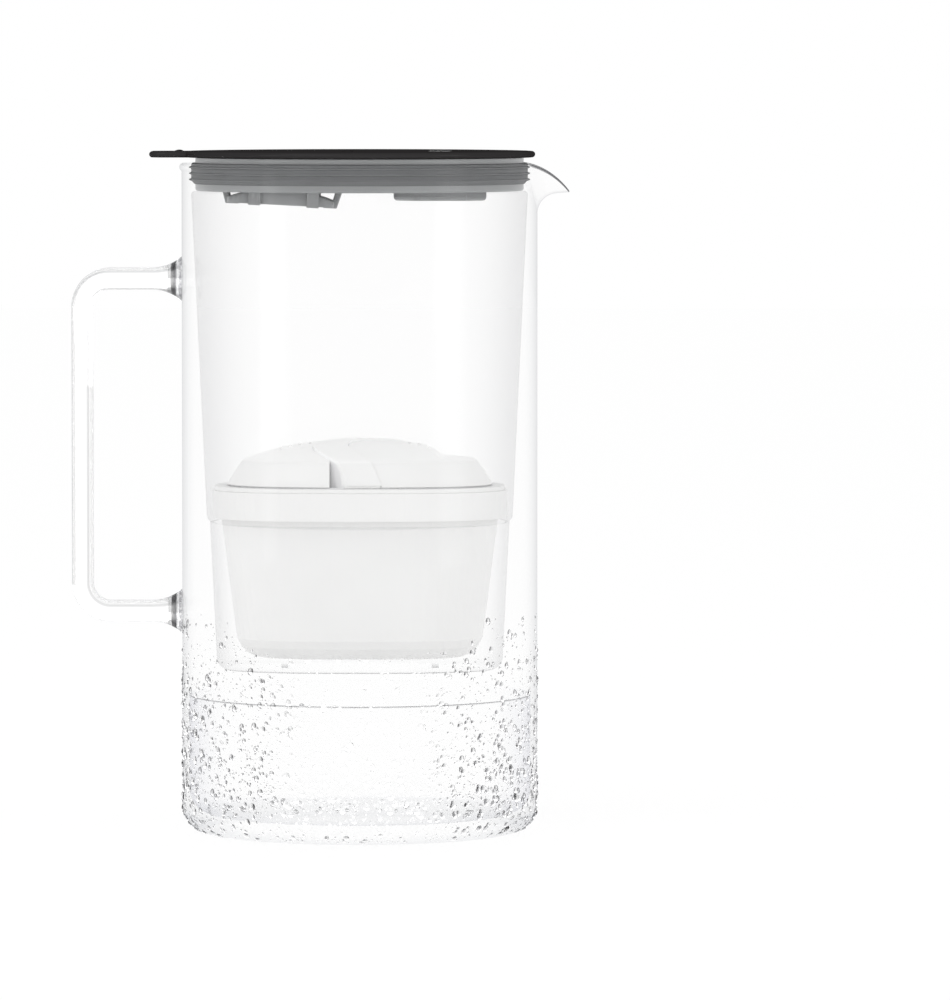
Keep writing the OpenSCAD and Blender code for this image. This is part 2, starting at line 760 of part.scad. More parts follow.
module lid_frame() {
    bar_t = 2;
    color([0.45, 0.46, 0.47])
        difference() {
            union() {
                translate([0, 0, frame_z]) cylinder(r = frame_r, h = frame_t);
                difference() {
                    translate([0, 0, frame_z - skirt_h]) cylinder(r = frame_r, h = skirt_h + 0.5);
                    translate([0, 0, frame_z - skirt_h - 1]) cylinder(r = frame_r - 1.6, h = skirt_h + 1);
                }
                box([hinge_x - knuckle_r - 2.5, -hinge_half - 3, frame_z - bar_t],
                    [hinge_x + knuckle_r + 2.5, hinge_half + 3, frame_z + 0.5]);
            }
            // filling opening
            translate([fill_x, 0, frame_z - 1]) linear_extrude(frame_t + 2) round_rect(fill_l, fill_w, fill_corner_r);
            // room for the hinge
            box([hinge_x - knuckle_r - 0.5, -hinge_half - 0.4, hinge_z - knuckle_r - 0.25],
                [hinge_x + knuckle_r + 0.5, hinge_half + 0.4, lid_z + 1]);
            translate([timer_x, window_y, frame_z - 1]) cylinder(r = window_r - 0.8, h = frame_t + 2);
            translate([timer_x, button_y, frame_z - 1]) cylinder(r = button_r + 1.3, h = frame_t + 2);
        }
}

// Places its children on the guard's sloping underside
module on_guard() {
    translate([guard_x, 0, guard_z]) rotate([0, guard_slope, 0]) children();
}

module splash_cradle() {
    half_w = guard_w / 2 + 0.3;
    color([0.5, 0.51, 0.52])
        difference() {
            union() {
                on_guard() {
                    // end arms, joined by a thin rail under each long edge
                    for (side = [-1, 1]) {
                        box([side > 0 ? guard_l / 2 - arm_t : -guard_l / 2, -6, 0],
                            [side > 0 ? guard_l / 2 : arm_t - guard_l / 2, 6, guard_drop + 2]);
                        box([-guard_l / 2, side > 0 ? 4 : -6, -0.9], [guard_l / 2, side > 0 ? 6 : -4, 0]);
                    }
                    // straps that wrap the plate's long edges
                    for (x = strap_xs, side = [-1, 1])
                        mirror([0, side > 0 ? 0 : 1, 0]) {
                            box([x - strap_w / 2, half_w, -1.2], [x + strap_w / 2, half_w + 1.2, guard_drop + 2]);
                            box([x - strap_w / 2, 4.5, -1.2], [x + strap_w / 2, half_w + 0.5, -0.05]);
                        }
                }
            }
            // flush with the frame and its bar
            box([-big, -big, frame_z], [big, big, big]);
            box([hinge_x - knuckle_r - 2.5, -hinge_half - 3, frame_z - 2],
                [hinge_x + knuckle_r + 2.5, hinge_half + 3, frame_z + 1]);
        }
}

module splash_plate() {
    rise_r = (pow(plate_l / 2, 2) + pow(guard_rise, 2)) / (2 * guard_rise);
    color([0.52, 0.53, 0.54])
        on_guard()
            difference() {
                intersection() {
                    translate([0, 0, guard_rise - rise_r]) rod_y(rise_r, -guard_w / 2, guard_w / 2);
                    linear_extrude(guard_rise + 1) round_rect(plate_l, guard_w, 5);
                }
                intersection() {
                    translate([0, 0, guard_rise - rise_r - guard_t])
                        rod_y(rise_r, guard_t - guard_w / 2, guard_w / 2 - guard_t);
                    translate([0, 0, -1]) linear_extrude(guard_rise + 1) round_rect(plate_l - 4, guard_w - 2 * guard_t, 4);
                }
            }
}

function timer_ring(inset, z) =
    cut_rectangle(timer_l - 2 * inset, timer_w - 2 * inset, timer_chamfer - 0.6 * inset, z);

module timer_outline(inset) {
    polygon([for (p = timer_ring(inset, 0)) [p.x, p.y]]);
}

module timer_housing() {
    post = [timer_l / 2 - timer_chamfer / 2 - timer_wall - 1.4, timer_w / 2 - timer_chamfer / 2 - timer_wall - 1.4];
    color([0.48, 0.49, 0.5])
        translate([timer_x, 0, 0])
            difference() {
                union() {
                    difference() {
                        loft([for (t = [0, 30, 60, 90])
                                timer_ring(timer_round * (1 - sin(t)), timer_z + timer_round * (1 - cos(t))),
                              timer_ring(0, frame_z)]);
                        translate([0, 0, timer_z + timer_floor_t]) linear_extrude(timer_h) timer_outline(timer_wall);
                    }
                    for (x = [-1, 1], y = [-1, 1])
                        translate([x * post.x, y * post.y, timer_z + 1])
                            cylinder(r = 1.6, h = board_z - timer_z - 1);
                }
                translate([0, 0, timer_z - 1]) cylinder(r = cover_hole_r, h = timer_floor_t + 2);
                translate([0, 0, timer_z - 1]) cylinder(r = cover_r + 0.15, h = cover_flange_t + 1.02);
                for (turn = [0, 180])
                    rotate([0, 0, turn])
                        box([-2.2, 0, timer_z + cover_flange_t - 0.5],
                            [2.2, cover_hole_r + 1.2, timer_z + timer_floor_t + 1]);
            }
}

module timer_board() {
    color([0.1, 0.35, 0.2])
        translate([timer_x, 0, board_z]) {
            linear_extrude(board_t) timer_outline(timer_wall + 0.4);
            translate([0, button_y, board_t + switch_h / 2 - 0.05]) cube([switch_w, switch_w, switch_h + 0.1], center = true);
            translate([0, window_y, board_t - 0.1]) cylinder(r = 1.5, h = lid_top_z - window_t - 2.5 - board_z - board_t);
        }
}

module contact_clips() {
    color([0.82, 0.78, 0.6])
        translate([timer_x, 0, 0]) {
            // upper clip, between the board and the cell
            box([-6, -2, board_z - clip_t], [6, 2, board_z]);
            box([-6, -2, cell_z + cell_t], [-6 + clip_t, 2, board_z]);
            box([-6, -2, cell_z + cell_t], [0, 2, cell_z + cell_t + clip_t]);
            // lower clip, under the cell and up past its side
            box([-5, -1.5, boss_top_z + 0.05], [cell_d / 2 + 0.8, 1.5, boss_top_z + 0.05 + clip_t]);
            box([cell_d / 2 + 0.5, -1.5, boss_top_z + 0.05], [cell_d / 2 + 0.5 + clip_t, 1.5, board_z]);
        }
}

module coin_cell() {
    color([0.8, 0.8, 0.82])
        translate([timer_x, 0, cell_z])
            union() {
                cylinder(r = cell_d / 2 - 1, h = cell_t);
                translate([0, 0, 0.4]) cylinder(r = cell_d / 2, h = cell_t - 0.4);
            }
}

module battery_cover() {
    groove_z = timer_z + cover_flange_t + 0.05;
    color([0.46, 0.47, 0.48])
        translate([timer_x, 0, 0])
            difference() {
                union() {
                    translate([0, 0, timer_z + 0.1]) cylinder(r = cover_r, h = cover_flange_t - 0.15);
                    translate([0, 0, timer_z + 0.2]) cylinder(r = cover_boss_r, h = boss_top_z - timer_z - 0.2);
                    // bayonet lugs, turned a quarter from their slots
                    intersection() {
                        translate([0, 0, timer_z + timer_floor_t + 0.05])
                            cylinder(r = cover_hole_r + 1, h = boss_top_z - timer_z - timer_floor_t - 0.05);
                        box([-big, -2, 0], [big, 2, big]);
                    }
                }
                // groove for the seal
                translate([0, 0, groove_z])
                    difference() {
                        cylinder(r = cover_boss_r + 0.01, h = 1.1);
                        translate([0, 0, -1]) cylinder(r = cover_boss_r - 0.8, h = 4);
                    }
                // coin slot
                box([-5, -0.8, timer_z - 1], [5, 0.8, timer_z + 1]);
                // room for the lower contact clip's upright
                box([cell_d / 2, -1.8, timer_z + timer_floor_t], [big, 1.8, big]);
            }
}

module battery_seal() {
    seal_r = 0.5;
    color([0.1, 0.1, 0.1])
        translate([timer_x, 0, timer_z + cover_flange_t + 0.1 + seal_r])
            rotate_extrude() translate([cover_hole_r - seal_r - 0.02, 0]) circle(seal_r);
}

module timer_window() {
    color([0.3, 0.32, 0.34, 0.8])
        translate([timer_x, window_y, lid_top_z - window_t]) cylinder(r = window_r, h = window_t);
}

module reset_button() {
    color([0.2, 0.2, 0.21])
        translate([timer_x, button_y, 0]) {
            translate([0, 0, lid_z - button_flange_t - 0.05]) {
                cylinder(r = button_r, h = lid_t + button_flange_t + 0.05 + button_proud);
                cylinder(r = button_r + 0.9, h = button_flange_t);
            }
            translate([0, 0, stem_z]) cylinder(r = 1.6, h = lid_z - stem_z);
        }
}

jug_body();
jug_handle();
hopper_tank();
collar_ring();
collar_gasket();
cartridge_cup();
cartridge_cap();
cartridge_seal();
inlet_screen();
outlet_screen();
filter_media();
lid_plate();
lid_frame();
splash_cradle();
splash_plate();
timer_housing();
timer_board();
contact_clips();
coin_cell();
battery_cover();
battery_seal();
timer_window();
hinge_pin();
flip_hatch();
reset_button();
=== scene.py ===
"""Looks of a glass water filter pitcher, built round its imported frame.

Everything is in metres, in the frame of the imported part: +Z up, the origin at the centre of the
jug's base, +X towards the pouring lip and -X towards the handle.
"""

from __future__ import annotations

import logging
import math
import random
from collections.abc import Sequence
from dataclasses import dataclass, field
from enum import Enum

import bmesh
import bpy
from mathutils import Matrix, Vector


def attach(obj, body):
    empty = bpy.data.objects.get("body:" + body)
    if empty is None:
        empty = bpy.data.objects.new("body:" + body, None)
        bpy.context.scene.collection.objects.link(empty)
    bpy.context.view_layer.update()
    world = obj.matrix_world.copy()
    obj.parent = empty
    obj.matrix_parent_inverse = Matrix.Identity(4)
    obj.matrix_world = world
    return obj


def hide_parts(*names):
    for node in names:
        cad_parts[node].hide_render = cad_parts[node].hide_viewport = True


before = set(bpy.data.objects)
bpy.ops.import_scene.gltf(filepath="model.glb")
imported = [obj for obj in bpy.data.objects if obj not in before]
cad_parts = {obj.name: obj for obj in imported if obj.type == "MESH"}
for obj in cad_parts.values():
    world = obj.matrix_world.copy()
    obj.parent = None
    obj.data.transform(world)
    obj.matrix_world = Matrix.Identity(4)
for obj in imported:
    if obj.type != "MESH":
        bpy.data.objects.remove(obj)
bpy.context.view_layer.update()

LOG = logging.getLogger("pitcher")
MM = 0.001
FULL_TURN = 2 * math.pi

Ring = list[Vector]
Colour = tuple[float, float, float]
Pair = tuple[float, float]
Piece = bpy.types.Object


# ---------------------------------------------------------------------------------------------
# names of the record
# ---------------------------------------------------------------------------------------------


class Body(Enum):
    """The bodies that new pieces ride on."""

    JUG = "jug"
    HOPPER = "hopper"
    CARTRIDGE = "cartridge"
    LID = "lid"


class Slot(Enum):
    """The material slots of the record."""

    JUG_GLASS = "jug_glass"
    HOPPER = "hopper_plastic"
    GREY = "grey_plastic"
    GREY_RUBBER = "grey_rubber"
    WHITE_RUBBER = "white_rubber"
    CARTRIDGE = "cartridge_plastic"
    MESH = "mesh"
    GRANULES = "granules"
    BLACK = "black_plastic"
    BUTTON = "button_plastic"
    BOARD = "circuit_board"
    CONTACT = "contact_metal"
    STEEL = "steel"
    BLACK_RUBBER = "black_rubber"
    WINDOW = "window"


class Along(Enum):
    """The axis that a prism is drawn out along."""

    Y = "Y"
    Z = "Z"


class Join(Enum):
    """How one solid is worked with another."""

    CUT = "DIFFERENCE"
    WELD = "UNION"
    COMMON = "INTERSECT"


# ---------------------------------------------------------------------------------------------
# shader maths
# ---------------------------------------------------------------------------------------------


class Sum:
    """A socket on which sums are written as Python expressions."""

    def __init__(self, recipe: Recipe, socket: bpy.types.NodeSocket) -> None:
        """Wraps one output socket.

        Args:
            recipe: the node tree that the socket belongs to.
            socket: the socket itself.
        """
        self.recipe = recipe
        self.socket = socket

    def math(self, operation: str, *values: Sum | float) -> Sum:
        """Adds one Math node.

        Args:
            operation: the node's operation.
            values: its inputs, in order.

        Returns:
            The node's value.
        """
        return self.recipe.node("Math", {"operation": operation}, dict(enumerate(values)))

    def __add__(self, other: Sum | float) -> Sum:
        """This plus other."""
        return self.math("ADD", self, other)

    def __sub__(self, other: Sum | float) -> Sum:
        """This less other."""
        return self.math("SUBTRACT", self, other)

    def __rsub__(self, other: float) -> Sum:
        """Other less this."""
        return self.math("SUBTRACT", other, self)

    def __mul__(self, other: Sum | float) -> Sum:
        """This times other."""
        return self.math("MULTIPLY", self, other)

    def __pow__(self, other: float) -> Sum:
        """This to a power."""
        return self.math("POWER", self, other)

    def __abs__(self) -> Sum:
        """This without its sign."""
        return self.math("ABSOLUTE", self)

    def larger(self, other: Sum) -> Sum:
        """The larger of this and other."""
        return self.math("MAXIMUM", self, other)

    def beside(self, out: str | int) -> Sum:
        """Another output of the same node."""
        return Sum(self.recipe, self.socket.node.outputs[out])

    def ramp(self, low: float, high: float, start: float = 0.0, end: float = 1.0) -> Sum:
        """Smooth step of this value.

        Args:
            low: where the step begins.
            high: where it ends.
            start: the result at and before low.
            end: the result at and after high.

        Returns:
            The stepped value.
        """
        settings = {"interpolation_type": "SMOOTHSTEP"}
        values = {"Value": self, "From Min": low, "From Max": high, "To Min": start, "To Max": end}
        return self.recipe.node("MapRange", settings, values)


Value = Sum | float | tuple


class Recipe:
    """The node tree of a material or of the world, as it is built."""

    def __init__(self, tree: bpy.types.NodeTree) -> None:
        """Empties a node tree.

        Args:
            tree: the tree to build in.
        """
        self.tree = tree
        tree.nodes.clear()

    def node(self, kind: str, settings: dict, values: dict[str | int, Value], out: str | int = 0) -> Sum:
        """Adds any node.

        Args:
            kind: the node's type, without the ShaderNode that it starts with.
            settings: its own settings, which are set first.
            values: values or links for its input sockets, by name or place.
            out: the output that is wanted, by name or place.

        Returns:
            That output.
        """
        made = self.tree.nodes.new("ShaderNode" + kind)
        for key, setting in settings.items():
            setattr(made, key, setting)
        for key, value in values.items():
            if isinstance(value, Sum):
                self.tree.links.new(value.socket, made.inputs[key])
            else:
                made.inputs[key].default_value = value
        return Sum(self, made.outputs[out])

    def place(self) -> Sum:
        """The place on the piece, in metres."""
        return self.node("TexCoord", {}, {}, "Object")

    def coordinate(self, axis: int) -> Sum:
        """One coordinate of the place on the piece: 0 is X, 1 is Y and 2 is Z."""
        return self.node("SeparateXYZ", {}, {0: self.place()}, axis)

    def noise(self, scale: float, detail: float = 3.0, stretch: Colour = (1.0, 1.0, 1.0)) -> Sum:
        """Soft noise fixed to the piece.

        Args:
            scale: how many blots there are in a metre.
            detail: how many finer layers it has.
            stretch: how much the noise is squeezed along each axis.

        Returns:
            A value from 0 to 1.
        """
        mapped = self.node("Mapping", {}, {"Vector": self.place(), "Scale": stretch})
        return self.node("TexNoise", {}, {"Vector": mapped, "Scale": scale, "Detail": detail})

    def mix(self, share: Value, first: Colour | Sum, second: Colour | Sum) -> Sum:
        """Mix of two colours.

        Args:
            share: how much of the second colour is in it.
            first: one colour.
            second: the other.

        Returns:
            The mixed colour.
        """
        ends = [c if isinstance(c, Sum) else (*c, 1.0) for c in (first, second)]
        return self.node("Mix", {"data_type": "RGBA"}, {0: share, 6: ends[0], 7: ends[1]}, 2)

    def bump(self, height: Sum, depth: float, strength: float = 1.0) -> Sum:
        """Normal of a surface with this relief.

        Args:
            height: the relief, from 0 to 1.
            depth: what 1 stands for, in metres.
            strength: how much of it is used.

        Returns:
            The normal.
        """
        values = {"Height": height, "Distance": depth, "Strength": strength}
        return self.node("Bump", {}, values)

    def facing(self) -> Sum:
        """How much the surface is seen edge-on, from 0 to 1."""
        return self.node("LayerWeight", {}, {"Blend": 0.5}, "Facing")

    def note(self, name: str) -> Sum:
        """A value that the piece's own mesh carries."""
        return self.node("Attribute", {"attribute_name": name}, {}, "Fac")

    def between(self, share: Value, first: Sum, second: Sum) -> Sum:
        """Mix of two shaders, with this share of the second."""
        return self.node("MixShader", {}, {0: share, 1: first, 2: second})

    def see_through(self, colour: Colour) -> Sum:
        """Shader that lets light straight through, tinted."""
        return self.node("BsdfTransparent", {}, {"Color": (*colour, 1.0)})

    def surface(self, values: dict[str, Value]) -> Sum:
        """The main shader, with these values on its sockets."""
        return self.node("BsdfPrincipled", {}, values)

    def end(self, shader: Sum, kind: str = "OutputMaterial") -> None:
        """Ties a shader to the output."""
        output = self.tree.nodes.new("ShaderNode" + kind)
        self.tree.links.new(shader.socket, output.inputs["Surface"])


def new_recipe(name: str) -> tuple[bpy.types.Material, Recipe]:
    """Starts a material.

    Args:
        name: the material's name.

    Returns:
        The material and its empty recipe.
    """
    material = bpy.data.materials.new(name)
    material.use_nodes = True
    return material, Recipe(material.node_tree)


# ---------------------------------------------------------------------------------------------
# finishes
# ---------------------------------------------------------------------------------------------


@dataclass(frozen=True)
class ClearFinish:
    """Solid glass or water: it bends light, and where it is seen edge-on it takes painted shade, a grey
    tint.

    The share of it given as unbent lets light straight through instead.
    """

    name: str
    ior: float = 1.45
    face_colour: Colour = (1.0, 1.0, 1.0)
    edge_shade_colour: Colour = (0.75, 0.78, 0.79)
    edge_from: float = 0.55
    edge_to: float = 1.0
    wave_scale: float = 30.0
    wave_depth: float = 0.0
    roughness: float = 0.0
    shade: float = 0.01
    unbent: float = 0.0

    def layers(self, recipe: Recipe) -> list[tuple[Sum, Colour]]:
        """The painted edge shade over the face colour, with how much of it a place has."""
        # painted shade: a grey tint where the surface is seen edge-on
        return [(recipe.facing().ramp(self.edge_from, self.edge_to), self.edge_shade_colour)]

    def seen(self, recipe: Recipe, colour: Sum, straight: Sum, wave: Sum) -> Sum:
        """Shader for everything that looks at the surface.

        Args:
            recipe: the material's recipe.
            colour: the tint of a place.
            straight: a shader that lets light straight through with that tint.
            wave: the normal of the slightly wavy surface.

        Returns:
            The shader.
        """
        values = {"Base Color": colour, "Roughness": self.roughness, "IOR": self.ior, "Normal": wave}
        glass = recipe.surface(values | {"Transmission Weight": 1.0})
        return recipe.between(self.unbent, glass, straight)

    def make(self) -> bpy.types.Material:
        """Builds the material.

        Returns:
            The material.
        """
        material, recipe = new_recipe(self.name)
        colour = self.face_colour
        straight = recipe.see_through(self.face_colour)
        for share, tint in self.layers(recipe):
            colour = recipe.mix(share, colour, tint)
            straight = recipe.between(share, straight, recipe.see_through(tint))
        wave = recipe.bump(recipe.noise(self.wave_scale, 2.0), self.wave_depth, 0.3)
        seen = self.seen(recipe, colour, straight, wave)
        path = recipe.node("LightPath", {}, {}, "Is Shadow Ray")
        lighting = path.larger(path.beside("Is Diffuse Ray"))
        recipe.end(recipe.between(lighting, seen, recipe.see_through((1 - self.shade,) * 3)))
        return material


@dataclass(frozen=True)
class WallFinish(ClearFinish):
    """A thin clear wall, or water in one: light goes straight through, apart from what it mirrors.

    Only the skin that faces away from the jug's axis, noted as outer, gathers the painted edge shade,
    and near foot_top a pale painted shade too. A thin dark line of painted shade is drawn where the
    mesh notes one, and with near_line it is seen from outside alone.
    """

    mirror: float = 0.012
    glare: float = 0.3
    line_shade_colour: Colour = (0.42, 0.42, 0.43)
    near_line: bool = False
    foot_top: float = 0.0
    foot_fade: float = 0.5 * MM
    foot_shade_colour: Colour = (0.9, 0.905, 0.915)

    def layers(self, recipe: Recipe) -> list[tuple[Sum, Colour]]:
        """The tints over the face colour, each with how much of it a place has.

        Args:
            recipe: the material's recipe.

        Returns:
            The tints, each after its share.
        """
        outer, facing = recipe.note("outer"), recipe.facing()
        # painted shade: the grey edge tint, on the outer skin alone
        found = [(outer * facing.ramp(self.edge_from, self.edge_to), self.edge_shade_colour)]
        # painted shade: a pale grey tint on the outer skin below foot_top, where it is seen edge-on
        if self.foot_top:
            ends = self.foot_top - self.foot_fade, self.foot_top + 2 * self.foot_fade
            low = recipe.coordinate(2).ramp(*ends, 1.0, 0.0)
            found.append((outer * low * facing.ramp(0.2, 0.8), self.foot_shade_colour))
        # painted shade: a thin dark line where the mesh notes one
        line = recipe.note("line")
        if self.near_line:
            line = line * (1 - recipe.node("NewGeometry", {}, {}, "Backfacing"))
        return [*found, (line, self.line_shade_colour)]

    def seen(self, recipe: Recipe, colour: Sum, straight: Sum, wave: Sum) -> Sum:
        """Shader for everything that looks at the surface.

        Args:
            recipe: the material's recipe.
            colour: the tint of a place; not used here.
            straight: a shader that lets light straight through with that tint.
            wave: the normal of the slightly wavy surface.

        Returns:
            The shader.
        """
        mirrored = recipe.facing() ** 5 * self.glare * recipe.note("outer") + self.mirror
        values = {"Roughness": self.roughness, "Normal": wave}
        gloss = recipe.node("BsdfAnisotropic", {}, values)
        return recipe.between(mirrored, straight, gloss)


@dataclass(frozen=True)
class DewFinish(ClearFinish):
    """Small drops, each with painted shade on the side that its mesh notes."""

    drop_shade_colour: Colour = (0.02, 0.02, 0.025)

    def layers(self, recipe: Recipe) -> list[tuple[Sum, Colour]]:
        """The tints over the face colour, each with how much of it a place has."""
        # painted shade on the side of each drop that the mesh notes
        return [*super().layers(recipe), (recipe.note("dark"), self.drop_shade_colour)]


@dataclass(frozen=True)
class RodFinish(ClearFinish):
    """The drawn glass rod, with painted shade: two faint lines along it, a dark band round each
    root and a grainy grey patch next to the wall.

    Each line is given by its place from the rod's inner side, -1, to its outer side, 1. The first
    of its two places is on the upper arm, and the second on the grip and the lower arm.
    """

    outer_line: Pair = (0.62, 0.97)
    inner_line: Pair = (-0.9, -0.5)
    outer_width: float = 0.13
    inner_width: float = 0.15
    inner_shade_colour: Colour = (0.55, 0.55, 0.555)
    inner_fade: float = 0.4
    root_from: float = -66.4 * MM
    root_to: float = -64.2 * MM
    root_fade: float = 0.4 * MM
    foot_from: float = -63.7 * MM
    foot_fade: float = 0.3 * MM
    foot_grain: float = 700.0
    root_shade_colour: Colour = (0.03, 0.03, 0.032)
    foot_shade_colour: Colour = (0.55, 0.55, 0.57)

    def layers(self, recipe: Recipe) -> list[tuple[Sum, Colour]]:
        """The tints over the face colour, each with how much of it a place has.

        Args:
            recipe: the material's recipe.

        Returns:
            The tints, each after its share.
        """
        edge = super().layers(recipe)[0][0]
        outward, turned = recipe.note("outward"), recipe.note("turned")
        # painted shade: faint lines along the rod, a dark band round each root, a grainy patch by the
        # wall
        lines = []
        for (first, last), width in (
            (self.outer_line, self.outer_width),
            (self.inner_line, self.inner_width),
        ):
            off = outward - (turned * (last - first) + first)
            lines.append(abs(off).ramp(0.3 * width, width, 1.0, 0.0))
        inner = lines[1] * (1 - turned.ramp(0.4, 1.0, 0.0, self.inner_fade))
        along = recipe.coordinate(0)
        root = along.ramp(self.root_from, self.root_from + self.root_fade)
        root = root * along.ramp(self.root_to - self.root_fade, self.root_to, 1.0, 0.0)
        root = root * abs(outward).ramp(0.35, 0.65, 0.7, 1.0)
        foot = along.ramp(self.foot_from, self.foot_from + self.foot_fade)
        foot = foot * recipe.noise(self.foot_grain).ramp(0.35, 0.6)
        return [
            (edge.larger(lines[0]), self.edge_shade_colour),
            (inner, self.inner_shade_colour),
            (root, self.root_shade_colour),
            (foot, self.foot_shade_colour),
        ]


@dataclass(frozen=True)
class MouldedFinish:
    """Moulded plastic or rubber: a fine spark-eroded grain under a soft sheen."""

    name: str
    colour: Colour
    roughness: float = 0.4
    roughness_spread: float = 0.08
    colour_spread: float = 0.06
    grain_scale: float = 2600.0
    grain_depth: float = 0.006 * MM
    specular: float = 0.5
    flow: Colour = (1.0, 1.0, 1.0)
    coat: float = 0.0

    def sheen(self, recipe: Recipe) -> Value:
        """How much of the glossy coat a place has, from 0 to 1."""
        return self.coat

    def tinted(self, recipe: Recipe, colour: Sum) -> Sum:
        """The colour of a place, from the plain colour of the plastic there."""
        return colour

    def painted_glow(self, recipe: Recipe) -> Value:
        """The painted glow that comes out of a place, as a colour: none on plain plastic."""
        return (0.0, 0.0, 0.0, 1.0)

    def make(self) -> bpy.types.Material:
        """Builds the material.

        Returns:
            The material.
        """
        material, recipe = new_recipe(self.name)
        cloud = recipe.noise(38.0, 3.0, self.flow)
        grain = recipe.noise(self.grain_scale, 2.0)
        darker = tuple(c * (1 - self.colour_spread) for c in self.colour)
        lighter = tuple(min(1.0, c * (1 + self.colour_spread)) for c in self.colour)
        plain = recipe.mix(cloud.ramp(0.3, 0.7), darker, lighter)
        smoothest = self.roughness - self.roughness_spread
        plastic = recipe.surface(
            {
                "Base Color": self.tinted(recipe, plain),
                "Emission Color": self.painted_glow(recipe),
                "Emission Strength": 1.0,
                "Roughness": cloud * (2 * self.roughness_spread) + smoothest,
                "Specular IOR Level": self.specular,
                "Coat Weight": self.sheen(recipe),
                "Coat Roughness": 0.2,
                "Normal": recipe.bump(grain, self.grain_depth, 0.5),
            }
        )
        recipe.end(plastic)
        return material


@dataclass(frozen=True)
class VelvetFinish(MouldedFinish):
    """Black moulded plastic whose sheen is gone where it is seen edge-on."""

    def sheen(self, recipe: Recipe) -> Value:
        """How much of the glossy coat a place has, from 0 to 1."""
        return (1 - recipe.facing()) ** 2 * self.coat


@dataclass(frozen=True)
class CollarFinish(MouldedFinish):
    """Grey plastic that is paler above the gasket: painted light over the shade that the lid casts
    there.
    """

    painted_light_from: float = 235.3 * MM
    painted_light_colour: Colour = (0.5, 0.51, 0.515)

    def tinted(self, recipe: Recipe, colour: Sum) -> Sum:
        """The colour of a place, from the plain colour of the plastic there."""
        # painted light: a paler grey above the gasket
        share = recipe.coordinate(2).ramp(self.painted_light_from, self.painted_light_from + 0.3 * MM)
        return recipe.mix(share, colour, self.painted_light_colour)


@dataclass(frozen=True)
class CapFinish(MouldedFinish):
    """Milky plastic with painted shade in its recesses and a painted glow on its dome's top."""

    recess_shade_colour: Colour = (0.8, 0.8, 0.805)
    glow_from: float = 130.2 * MM
    glow_to: float = 132.0 * MM
    glow_colour: Colour = (0.1, 0.1, 0.1)

    def tinted(self, recipe: Recipe, colour: Sum) -> Sum:
        """The colour of a place, from the plain colour of the plastic there."""
        # painted shade in the recesses that the mesh notes
        return recipe.mix(recipe.note("recess_shade"), colour, self.recess_shade_colour)

    def painted_glow(self, recipe: Recipe) -> Value:
        """The painted glow on the dome's top, as a colour."""
        # painted light: a faint glow on the dome's top
        share = recipe.coordinate(2).ramp(self.glow_from, self.glow_to)
        return recipe.mix(share, (0.0, 0.0, 0.0), self.glow_colour)


@dataclass(frozen=True)
class MetalFinish:
    """Plated or drawn metal, with fine lines along one axis."""

    name: str
    colour: Colour
    roughness: float = 0.28
    lines: Colour = (1.0, 40.0, 1.0)

    def make(self) -> bpy.types.Material:
        """Builds the material.

        Returns:
            The material.
        """
        material, recipe = new_recipe(self.name)
        drawn = recipe.noise(220.0, 4.0, self.lines)
        dull = tuple(0.82 * c for c in self.colour)
        metal = recipe.surface(
            {
                "Base Color": recipe.mix(drawn, dull, self.colour),
                "Metallic": 1.0,
                "Roughness": drawn * 0.15 + self.roughness,
                "Normal": recipe.bump(drawn, 0.004 * MM, 0.4),
            }
        )
        recipe.end(metal)
        return material


@dataclass(frozen=True)
class MeshFinish:
    """Fine woven mesh: two sets of threads over each other."""

    name: str
    thread: Colour
    hole: Colour
    pitch: float = 0.9 * MM

    def make(self) -> bpy.types.Material:
        """Builds the material.

        Returns:
            The material.
        """
        material, recipe = new_recipe(self.name)
        waves = []
        for axis in (0, 1):
            turn = recipe.coordinate(axis) * (FULL_TURN / self.pitch)
            waves.append(turn.math("SINE", turn))
        cover = waves[0].larger(waves[1]).ramp(-0.2, 0.6)
        weave = recipe.surface(
            {
                "Base Color": recipe.mix(cover, self.hole, self.thread),
                "Roughness": 0.6,
                "Normal": recipe.bump(cover, 0.15 * MM, 0.8),
            }
        )
        recipe.end(weave)
        return material


@dataclass(frozen=True)
class GranuleFinish:
    """A packed bed of dark grains with pale ones between them."""

    name: str
    dark: Colour
    pale: Colour
    grain: float = 900.0

    def make(self) -> bpy.types.Material:
        """Builds the material.

        Returns:
            The material.
        """
        material, recipe = new_recipe(self.name)
        cells = recipe.node("TexVoronoi", {}, {"Vector": recipe.place(), "Scale": self.grain})
        pick = recipe.node("SeparateColor", {}, {0: cells.beside("Color")})
        bed = recipe.surface(
            {
                "Base Color": recipe.mix(pick.ramp(0.55, 0.6), self.dark, self.pale),
                "Roughness": pick * 0.3 + 0.5,
                "Normal": recipe.bump(1 - cells, 0.5 * MM),
            }
        )
        recipe.end(bed)
        return material


Finish = ClearFinish | MouldedFinish | MetalFinish | MeshFinish | GranuleFinish

GREY = {"colour": (0.3, 0.308, 0.313), "roughness": 0.32, "flow": (1.0, 1.0, 0.1), "specular": 0.6}
MILKY = {"colour": (0.945, 0.945, 0.94), "roughness": 0.42, "colour_spread": 0.012}

